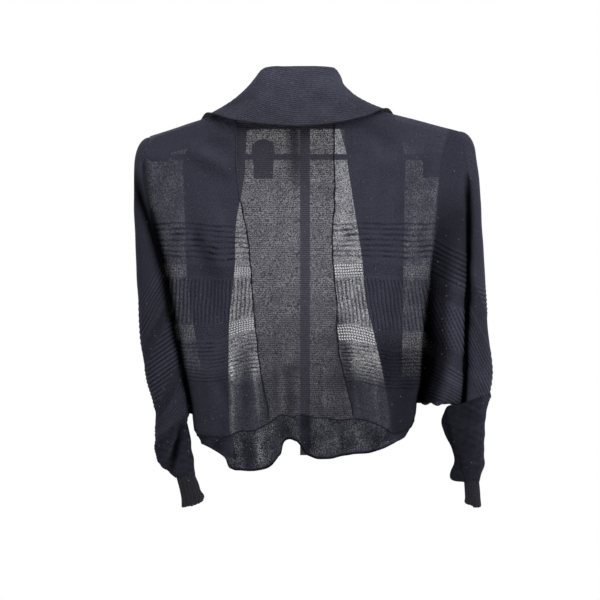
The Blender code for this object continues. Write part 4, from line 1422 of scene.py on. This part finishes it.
    def build(self, look: Material) -> tuple[Thing, dict[Layer, Array]]:
        """Makes the wing.

        Args:
            look: its finish.

        Returns:
            The object, and for each layer the points on the hem seam.
        """
        weave = Weave(self.side.word + "_wing_knit")
        hems = {}
        for layer in Layer:
            flip = (layer is Layer.BACK) == (self.side is Side.LEFT)
            zones = self.upper(layer)
            columns = [self.fabric(name, layer, x, z) for name, (x, _, z) in zones.items()]
            x, y, z = (np.concatenate([zone[k] for zone in zones.values()], 1) for k in range(3))
            points = np.stack([x, layer.value * y, z], -1)
            values = {key: np.concatenate([part[key] for part in columns], 1) for key in columns[0]}
            weave.grid(points, values.pop("uv"), flip, **values)
            body = zones["body"]
            x, y, z = self.lower(layer, body[0][-1], body[2][-1])
            y[0] = body[1][-1]
            low = self.fabric("body", layer, x, z)
            weave.grid(np.stack([x, layer.value * y, z], -1), low.pop("uv"), flip, **low)
            hems[layer] = np.stack([x[-1], layer.value * y[-1], z[-1]], -1)
            arm = self.forearm(points[-1, -self.sleeve_columns - 1:], layer)
            rough = self.fabric("forearm", layer, arm[..., 0], arm[..., 2])
            weave.grid(arm, rough.pop("uv"), flip, **rough)
        return weave.build(look), hems


def closing(part: Array, start: float, length: float) -> Array:
    """How open the cloth still is toward the underarm: sqrt(1 - t^2), with t the way from start on."""
    return np.sqrt(np.clip(1 - (np.maximum(part - start, 0) / length) ** 2, 0, 1))


def crown(drop: Array) -> Array:
    """How far open the cloth is below the shoulder line: sqrt(1 - (1 - drop / 11)^2)."""
    t = np.clip(drop / CROWN_DROP, 0, 1)
    return np.sqrt(1 - (1 - t) ** 2)


def hem_height(layer: Layer, x: Array, table: str) -> Array:
    """The height of the hem seam or of the hem's edge.

    Args:
        layer: the back or the front.
        x: across, in millimetres.
        table: seam or edge.

    Returns:
        The height at each x.
    """
    tables = {(Layer.BACK, "seam"): HEM_SEAM, (Layer.BACK, "edge"): HEM_EDGE,
              (Layer.FRONT, "seam"): FRONT_HEM_SEAM, (Layer.FRONT, "edge"): FRONT_HEM_EDGE}
    return curve(tables[(layer, table)], x)


def smooth_rows(keys: Array, where: Array) -> Array:
    """Rows between key rows, smooth along the first axis by cubics with the key rows' slopes.

    Args:
        keys: the key rows.
        where: the places of the new rows, counted in key rows.

    Returns:
        The new rows.
    """
    slope = np.gradient(keys, axis=0)
    i = np.clip(where.astype(int), 0, len(keys) - 2)
    t = (where - i).reshape((-1,) + (1,) * (keys.ndim - 1))
    smooth = t * t * (3 - 2 * t)
    bend = t * (1 - t) * ((1 - t) * slope[i] - t * slope[i + 1])
    return keys[i] + (keys[i + 1] - keys[i]) * smooth + bend


@dataclass
class BackPanel:
    """The centre back between its two seams, in a finer knit."""

    cut: Cut
    rows: int = 210
    columns: int = 92

    def build(self, look: Material) -> tuple[Thing, Array]:
        """Makes the panel: x straight between the seams at each height, y = -(body depth).

        Args:
            look: its finish.

        Returns:
            The object and its points on the hem seam.
        """
        across = np.linspace(0, 1, self.columns + 1)[None, :]
        share = np.linspace(1, 0, self.rows + 1)[:, None]
        seams = [LEFT_LINES["seam"], RIGHT_LINES["seam"]]
        guess_z = NECK_HEIGHT * share + PANEL_LOW * (1 - share)
        ends = [curve(line, guess_z) for line in seams]
        guess = ends[0] + (ends[1] - ends[0]) * across
        top = NECK_HEIGHT + 4 * across - NECK_DIP * np.sin(math.pi * across)
        low = hem_height(Layer.BACK, guess, "seam") + SEAM_GAP / 2
        z = low + (top - low) * share
        left, right = curve(seams[0], z), curve(seams[1], z)
        x = left + (right - left) * across
        y = -body_depth(x, z, Layer.BACK)
        soft = creases(x, z, PANEL_CREASES) + 0.3 * waves(x, z, 70, 51)
        thick = np.clip(creases(x, z, PANEL_GATHERS), -1, 2.4)
        cover = curve(PANEL_COVER, z) + 0.008 * waves(x, z, 34, 61)
        cover = 1 - (1 - cover) * np.exp(-1.1 * thick)
        # Painted light and shade by height, lighter on lifted creases; darker in the gathers and along the
        # sewing line
        tone = curve(PANEL_PAINTED_LIGHT, z) * (1 - 0.14 * thick) * (1 + 0.1 * soft)
        tone = tone * (1 - 0.6 * np.clip(creases(x, z, PANEL_LINES), 0, 1))
        weave = Weave("centre_back_knit")
        weave.grid(np.stack([x, y, z], -1), np.stack([x, z], -1), lift=soft, cover=cover, tone=tone)
        return weave.build(look), np.stack([x[-1], y[-1], z[-1]], -1)


@dataclass
class HemBand:
    """The hem's plain strip under the hem seam, from one opening edge round the back to the other."""

    cut: Cut
    rows: int = 22
    roll: float = 1.7
    roll_turn: float = 4.4

    def build(self, look: Material, seam: Array, fronts: Array) -> Thing:
        """Makes the strip.

        Formula: each column goes down from the seam to the edge table, keeping its place t on the body's half
        width, and ends in a roll to the outside.

        Args:
            look: its finish.
            seam: the points on the hem seam.
            fronts: True where a point is on the front layer.

        Returns:
            The object.
        """
        s = np.linspace(0, 1, self.rows + 1)[:, None]
        top = seam[:, 2] - SEAM_GAP
        t = np.clip((seam[:, 0] - body_middle(seam[:, 2])) / body_half(seam[:, 2]), -1, 1)
        end = body_middle(0) + t * body_half(0)
        low = np.where(fronts, hem_height(Layer.FRONT, end, "edge"), hem_height(Layer.BACK, end, "edge"))
        z = top + (np.minimum(low + self.roll, top - 1) - top) * s
        x = body_middle(z) + t * body_half(z)
        front = body_depth(x, z, Layer.FRONT)
        y = np.where(fronts, front, -body_depth(x, z, Layer.BACK))
        y = np.where(seam[:, 1] == 0, 0.0, y)
        rows = rolled(np.stack([x, y, z], -1), self.roll, self.roll_turn, -1.0)
        x, z = rows[..., 0], rows[..., 2]
        edge = np.zeros(len(rows))[:, None] + 0 * x
        edge[self.rows:] = 1
        soft = creases(x, z, HEM_CREASES) + 0.3 * waves(x, z, 40, 71)
        thick = creases(x, z, HEM_GATHERS)
        cover = 1 - (0.017 - 0.009 * waves(x, z, 22, 75)) * np.exp(-1.3 * thick)
        # Painted shade: lighter on lifted creases and darker on the rolled edge; also darker in the gathers
        # and uneven at random
        tone = (0.42 + 0.1 * waves(x, z, 26, 77)) * (1 + 0.1 * soft) * (1 - 0.15 * thick) * (1 - 0.6 * edge)
        weave = Weave("hem_knit")
        cover = np.maximum(cover, edge)
        weave.grid(rows, np.stack([x, z], -1), lift=soft * (1 - edge), cover=cover, tone=tone)
        return weave.build(look)


@dataclass
class ShawlCollar:
    """The folded ribbed band round the neck and down both opening edges."""

    cut: Cut
    neck_steps: int = 18
    lapel_rows: int = 190
    stand: int = 26
    turn: int = 9
    fall: int = 56
    roll: float = 1.2
    roll_turn: float = 2.8

    def lapel(self, side: Side, height: Array) -> Array:
        """Sections of the band on the front.

        Args:
            side: the opening edge.
            height: of each section.

        Returns:
            Rows of the seam's, the fold's and the outer edge's x, y and height.
        """
        tables, sign = side.tables, side.value
        edge = curve(tables.lines["edge"], height)
        reach = curve(tables.lapel_reach, height)
        places = {"seam": edge + sign * np.minimum(LAPEL_FACING, 0.5 * np.abs(reach - edge)),
                  "fold": edge - sign * tables.fold_set, "edge": reach}
        parts = [(x, body_depth(x, height, Layer.FRONT) + LAPEL_LIFT[name], height)
                 for name, x in places.items()]
        return np.stack(sum(parts, ()), -1)

    def sections(self) -> Array:
        """Joins both lapels and the neck.

        Returns:
            All sections from the left hem round the neck to the right hem, nine numbers each.
        """
        halves = {}
        for side in Side:
            heights = np.linspace(LAPEL_TOP, side.tables.lapel_bottom, self.lapel_rows)
            lapel = self.lapel(side, heights)
            keys = np.array([CENTRE_BACK, *side.tables.collar, lapel[0]], float)
            last = len(keys) - 1
            round_neck = smooth_rows(keys, np.linspace(0, last, last * self.neck_steps + 1))
            halves[side] = np.concatenate([round_neck, lapel[1:]])
        return np.concatenate([halves[Side.LEFT][::-1], halves[Side.RIGHT][1:]])

    def build(self, look: Material) -> Thing:
        """Makes the collar.

        Formula: each section runs from its seam straight to the fold, round a half circle of radius
        FOLD_RADIUS and down to the outer edge, start + (edge - start) t + outward * bulge sin(pi t), with a
        rolled edge. Round the neck the fall bends on a curve that drops first and then flares.

        Args:
            look: its finish.

        Returns:
            The object.
        """
        cuts = self.sections()
        seam, fold, edge = cuts[:, None, 0:3], cuts[:, None, 3:6], cuts[:, None, 6:9]
        rise = unit(fold - seam)
        outward = unit((edge - seam) - rise * np.sum((edge - seam) * rise, -1, keepdims=True))
        turn = fold - rise * FOLD_RADIUS
        up = (np.arange(self.stand) / self.stand)[None, :, None]
        angle = (math.pi * np.arange(self.turn + 1) / self.turn)[None, :, None]
        bend = turn + outward * FOLD_RADIUS * (1 - np.cos(angle)) + rise * FOLD_RADIUS * np.sin(angle)
        t = (np.arange(1, self.fall + 1) / self.fall)[None, :, None]
        start = bend[:, -1:]
        drop = rise * np.sum((edge - start) * rise, -1, keepdims=True)
        share = np.interp(seam[..., :1], FLARE_SPAN, FLARE_DROP)
        corner = start + drop * share + (edge - start - drop) * FLARE_REACH
        flare = np.clip((seam[..., 2:] - FLARE_FROM[0]) / (FLARE_FROM[1] - FLARE_FROM[0]), 0, 1)
        flat = start + (edge - start) * t + outward * FALL_BULGE * np.sin(math.pi * t)
        bent = start * (1 - t) ** 2 + corner * 2 * t * (1 - t) + edge * t * t
        fall = flat + (bent - flat) * flare
        rows = np.concatenate([seam + (turn - seam) * up, bend, fall], 1).transpose(1, 0, 2)
        count = len(rows)
        rows = rolled(rows, self.roll, self.roll_turn, 1.0)
        length, way = run(rows), run(rows[count // 2])
        u, q = np.broadcast_arrays(way[None, :], length)
        x, z = rows[..., 0], rows[..., 2]
        on_fall = np.clip((np.arange(len(rows)) - self.stand - self.turn) / 12, 0, 1)[:, None]
        soft = (creases(x, z, COLLAR_CREASES) * (rows[..., 1] < 0) + 0.5 * waves(u, q, 55, 81)) * on_fall
        welts = 0.22 * np.cos(2 * math.pi * q / COLLAR_WELT)
        lip = (np.arange(len(rows)) >= count)[:, None]
        weave = Weave("shawl_collar_knit")
        # Painted light and shade: lighter at the fold and darker down the fall, lighter on lifted creases,
        # and a painted shadow line on the rolled lip
        tone = 1.14 - 0.28 * FALL_DARKER.above(q - length[self.stand]) + 0.05 * soft
        tone = tone + 0.07 * waves(x, z, 26, 83)
        tone = np.where(lip, 0.45, tone)
        weave.grid(rows, np.stack([u, q], -1), lift=(soft + welts) * ~lip, cover=0.985 + 0 * u, tone=tone)
        return weave.build(look)


@dataclass
class Cuff:
    """A short ribbed cuff with a rolled end."""

    side: Side
    cut: Cut
    columns: int = 96
    rows: int = 44
    roll: float = 1.3
    roll_turn: float = 4.0
    mean_radius: float = 13.0

    def build(self, look: Material) -> Thing:
        """Makes the cuff.

        Formula: rings (x + a cos(v), b sin(v), z) smooth between the table's rings, tilted and uneven towards
        the open end, with CUFF_RIBS ribs as cos(CUFF_RIBS v).

        Args:
            look: its finish.

        Returns:
            The object.
        """
        rings = np.array(self.side.tables.cuff, float)
        rings = smooth_rows(rings, np.linspace(0, len(rings) - 1, self.rows))
        angle = np.linspace(0, 2 * math.pi, self.columns + 1)[None, :]
        x = rings[:, 0:1] + rings[:, 2:3] * np.cos(angle)
        y = rings[:, 3:4] * np.sin(angle)
        down = np.linspace(0, 1, self.rows)[:, None]
        tilt = self.side.tables.cuff_tilt * (x - rings[:, 0:1])
        z = rings[:, 1:2] + (0.8 * np.sin(2 * angle + 1) + tilt) * down ** 2 + 2.2 * (1 - down) ** 6
        x = x - 0.5 * (1 - down) ** 6 * np.cos(angle)
        points = rolled(np.stack([x, y, z], -1), self.roll, self.roll_turn, -1.0)
        ribs = 0.35 * np.cos(CUFF_RIBS * angle) + 0 * points[..., 0]
        down = -points[..., 2]
        uneven = 0.5 * waves(14 * np.cos(angle) + 0 * down, down, 12, 91)
        weave = Weave(self.side.word + "_cuff_knit")
        uv = np.stack([angle * self.mean_radius + 0 * down, down], -1)
        # Painted shade in the rib troughs
        weave.grid(points, uv, lift=ribs + uneven * np.sin(angle) ** 2, cover=0.97 + 0 * down,
                   tone=0.82 - 0.12 * (ribs < -0.1))
        return weave.build(look)


@dataclass
class Hanger:
    """The plastic hanger, whose CAD nodes stay in view with a finish each."""

    board: PlasticFinish
    clip: PlasticFinish

    def dress(self) -> None:
        """Puts the finishes on the CAD nodes' material slots."""
        looks = {"hanger_": self.board.make(), "clip_": self.clip.make()}
        for name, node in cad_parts.items():
            for start, look in looks.items():
                if name.startswith(start):
                    for slot in node.material_slots:
                        slot.material = look
                    LOG.info("%s: CAD shape with %s", name, look.name)


@dataclass
class Studio:
    """White surroundings, a pale floor, a soft key light and the camera at the photo's angle."""

    fill: float = 0.62
    key: float = 52.0
    key_size: float = 1.6
    key_place: tuple[float, float, float] = (1.5, -2.4, 1.7)
    key_aim: tuple[float, float, float] = (0, 0, 0.22)
    floor_radius: float = 0.8
    floor_height: float = -0.35
    floor_sides: int = 64
    sensor: float = 36.0
    distance: float = 6000.0
    view_width: float = 762.0
    middle: tuple[float, float] = (-6.35, 196.9)

    def build(self) -> None:
        """Makes the world, the floor, the light and the camera."""
        self.world()
        self.floor()
        self.light()
        self.camera()

    def world(self) -> None:
        """White where the camera sees it, and a weaker fill for everything else."""
        scene = bpy.context.scene
        scene.view_settings.view_transform = "Standard"
        scene.view_settings.look = "None"
        world = bpy.data.worlds.new("white studio")
        world.use_nodes = True
        scene.world = world
        nodes, links = world.node_tree.nodes, world.node_tree.links
        seen = nodes.new("ShaderNodeLightPath")
        strength = nodes.new("ShaderNodeMapRange")
        strength.inputs["To Min"].default_value = self.fill
        strength.inputs["To Max"].default_value = 1.0
        links.new(seen.outputs["Is Camera Ray"], strength.inputs["Value"])
        links.new(strength.outputs[0], nodes["Background"].inputs["Strength"])
        nodes["Background"].inputs["Color"].default_value = (1, 1, 1, 1)

    def floor(self) -> None:
        """A pale round floor well below the hem."""
        angle = np.linspace(0, 2 * math.pi, self.floor_sides + 1)[:-1]
        level = np.full(self.floor_sides, self.floor_height)
        ring = np.stack([self.floor_radius * np.cos(angle), self.floor_radius * np.sin(angle), level], -1)
        mesh = bpy.data.meshes.new("floor")
        mesh.from_pydata(ring.tolist(), [], [list(range(self.floor_sides))])
        pale = Graph("pale floor")
        shade = pale.add(pale.times(pale.noise(6.0), 0.03), 0.86)
        pale.feed(pale.shader.inputs["Base Color"], pale.tinted((1.0, 1.0, 1.0), shade))
        pale.shader.inputs["Roughness"].default_value = 0.8
        mesh.materials.append(pale.material)
        placed("floor", mesh)

    def light(self) -> None:
        """A large soft light, up and to the right of the camera."""
        data = bpy.data.lights.new("soft key", "AREA")
        data.energy = self.key
        data.size = self.key_size
        made = placed("soft key", data)
        made.location = self.key_place
        aim = Vector(self.key_aim) - made.location
        made.rotation_euler = aim.to_track_quat("-Z", "Y").to_euler()

    def camera(self) -> None:
        """A long lens behind the cardigan, level with the middle of the photo."""
        data = bpy.data.cameras.new("camera")
        data.sensor_width = self.sensor
        data.lens = self.sensor * self.distance / self.view_width
        data.clip_end = 100
        made = placed("camera", data)
        made.location = (self.middle[0] * MM, -self.distance * MM, self.middle[1] * MM)
        made.rotation_euler = (math.pi / 2, 0, 0)
        bpy.context.scene.camera = made


@dataclass
class Cardigan:
    """The whole garment: the wings, the centre back, the hem, the collar, the cuffs and the seams."""

    left: Wing
    right: Wing
    panel: BackPanel
    hem: HemBand
    collar: ShawlCollar
    cuffs: tuple[Cuff, Cuff]

    def panel_seam(self, side: Side) -> Array:
        """The path of a panel seam, down the back just outside the cloth.

        Args:
            side: the seam's wing.

        Returns:
            Points from the neck down.
        """
        z = np.arange(NECK_HEIGHT + 1, SEAM_LOW, -1.6)
        x = curve(side.lines["seam"], z) + 0.5 * waves(z, z * 0, 30, 15)
        return np.stack([x, -body_depth(x, z, Layer.BACK) - 0.5, z], -1)

    def build(self) -> None:
        """Builds the pieces in order, rides them on the body and hides the CAD nodes they stand for."""
        sheer, dense, thread = WING_KNIT.make(), COLLAR_KNIT.make(), THREAD.make()
        hems = {}
        for wing in (self.left, self.right):
            word, pale_from = wing.side.word, wing.side.tables.pale_from
            made, hems[wing.side] = wing.build(sheer)
            cord = SeamCord(word + "_panel_seam", self.panel_seam(wing.side), pale_from=pale_from)
            wing.cut.declare(made, "wing_knit", ["wing_" + word], [cord.build(thread)])
        made, low = self.panel.build(PANEL_KNIT.make())
        self.panel.cut.declare(made, "back_knit", ["back_panel"])
        left, right = hems[Side.LEFT], hems[Side.RIGHT]
        back = np.concatenate([left[Layer.BACK][::-1], low[1:-1], right[Layer.BACK]])
        fronts = [left[Layer.FRONT][:-1], right[Layer.FRONT][:-1][::-1]]
        seam = np.concatenate([fronts[0], back, fronts[1]])
        place = np.arange(len(seam)) - len(fronts[0])
        on_front = (place < 0) | (place >= len(back))
        made = self.hem.build(HEM_KNIT.make(), seam, on_front)
        outside = seam + np.where(on_front, 0.6, -0.6)[:, None] * np.array((0, 1, 0))
        trim = SeamCord("hem_seam", outside[::2], 0.8).build(thread)
        self.hem.cut.declare(made, "hem_knit", ["hem_band"], [trim])
        self.collar.cut.declare(self.collar.build(dense), "collar_knit", ["shawl_collar"])
        cuff_look = CUFF_KNIT.make()
        for cuff in self.cuffs:
            cuff.cut.declare(cuff.build(cuff_look), "cuff_knit", ["cuff_" + cuff.side.word])


WING_KNIT = KnitFinish("sheer wing knit", (0.041, 0.041, 0.061), 1.1, 2.1, 0.12)
PANEL_KNIT = KnitFinish("fine ribbed knit", (0.046, 0.0435, 0.058), 1.8, 2.6, 0.4, 0.3)
COLLAR_KNIT = KnitFinish("ribbed collar knit", (0.050, 0.052, 0.072), 0.5, 2.6, 0.1, 0.32, speckle=0.7)
HEM_KNIT = KnitFinish("plain hem knit", (0.046, 0.047, 0.070), 3.0, 2.0, 0.15)
CUFF_KNIT = KnitFinish("cuff knit", (0.026, 0.026, 0.033), 0.5, 1.8, 0.1)
THREAD = KnitFinish("seam thread", (0.022, 0.022, 0.030), 0.0, 1.6, 0.0)


def main() -> None:
    """Builds the cardigan, dresses the hanger and sets up the studio."""
    cardigan = Cardigan(
        left=Wing(Side.LEFT, Cut(0.27, 0.82, 0.147, Hold.HUNG, ("hanger_arms",))),
        right=Wing(Side.RIGHT, Cut(0.31, 0.86, 0.186, Hold.HUNG, ("hanger_arms",))),
        panel=BackPanel(Cut(0.13, 0.39, 0.043, Hold.HUNG, ("wing_left", "wing_right"))),
        hem=HemBand(Cut(0.06, 0.50, 0.016, Hold.HUNG, ("wing_left", "wing_right"))),
        collar=ShawlCollar(Cut(0.16, 1.25, 0.098, Hold.FOLDED, ("hanger_arms",))),
        cuffs=(Cuff(Side.LEFT, Cut(0.09, 0.045, 0.0038, Hold.GATHERED, ("wing_left",))),
               Cuff(Side.RIGHT, Cut(0.085, 0.045, 0.0032, Hold.GATHERED, ("wing_right",)))),
    )
    cardigan.build()
    Hanger(PlasticFinish("hanger plastic", (0.052, 0.050, 0.060), 0.5),
           PlasticFinish("clip plastic", (0.040, 0.040, 0.052), 0.42)).dress()
    Studio().build()


if __name__ == "__main__":
    logging.basicConfig(level=logging.INFO)
    main()
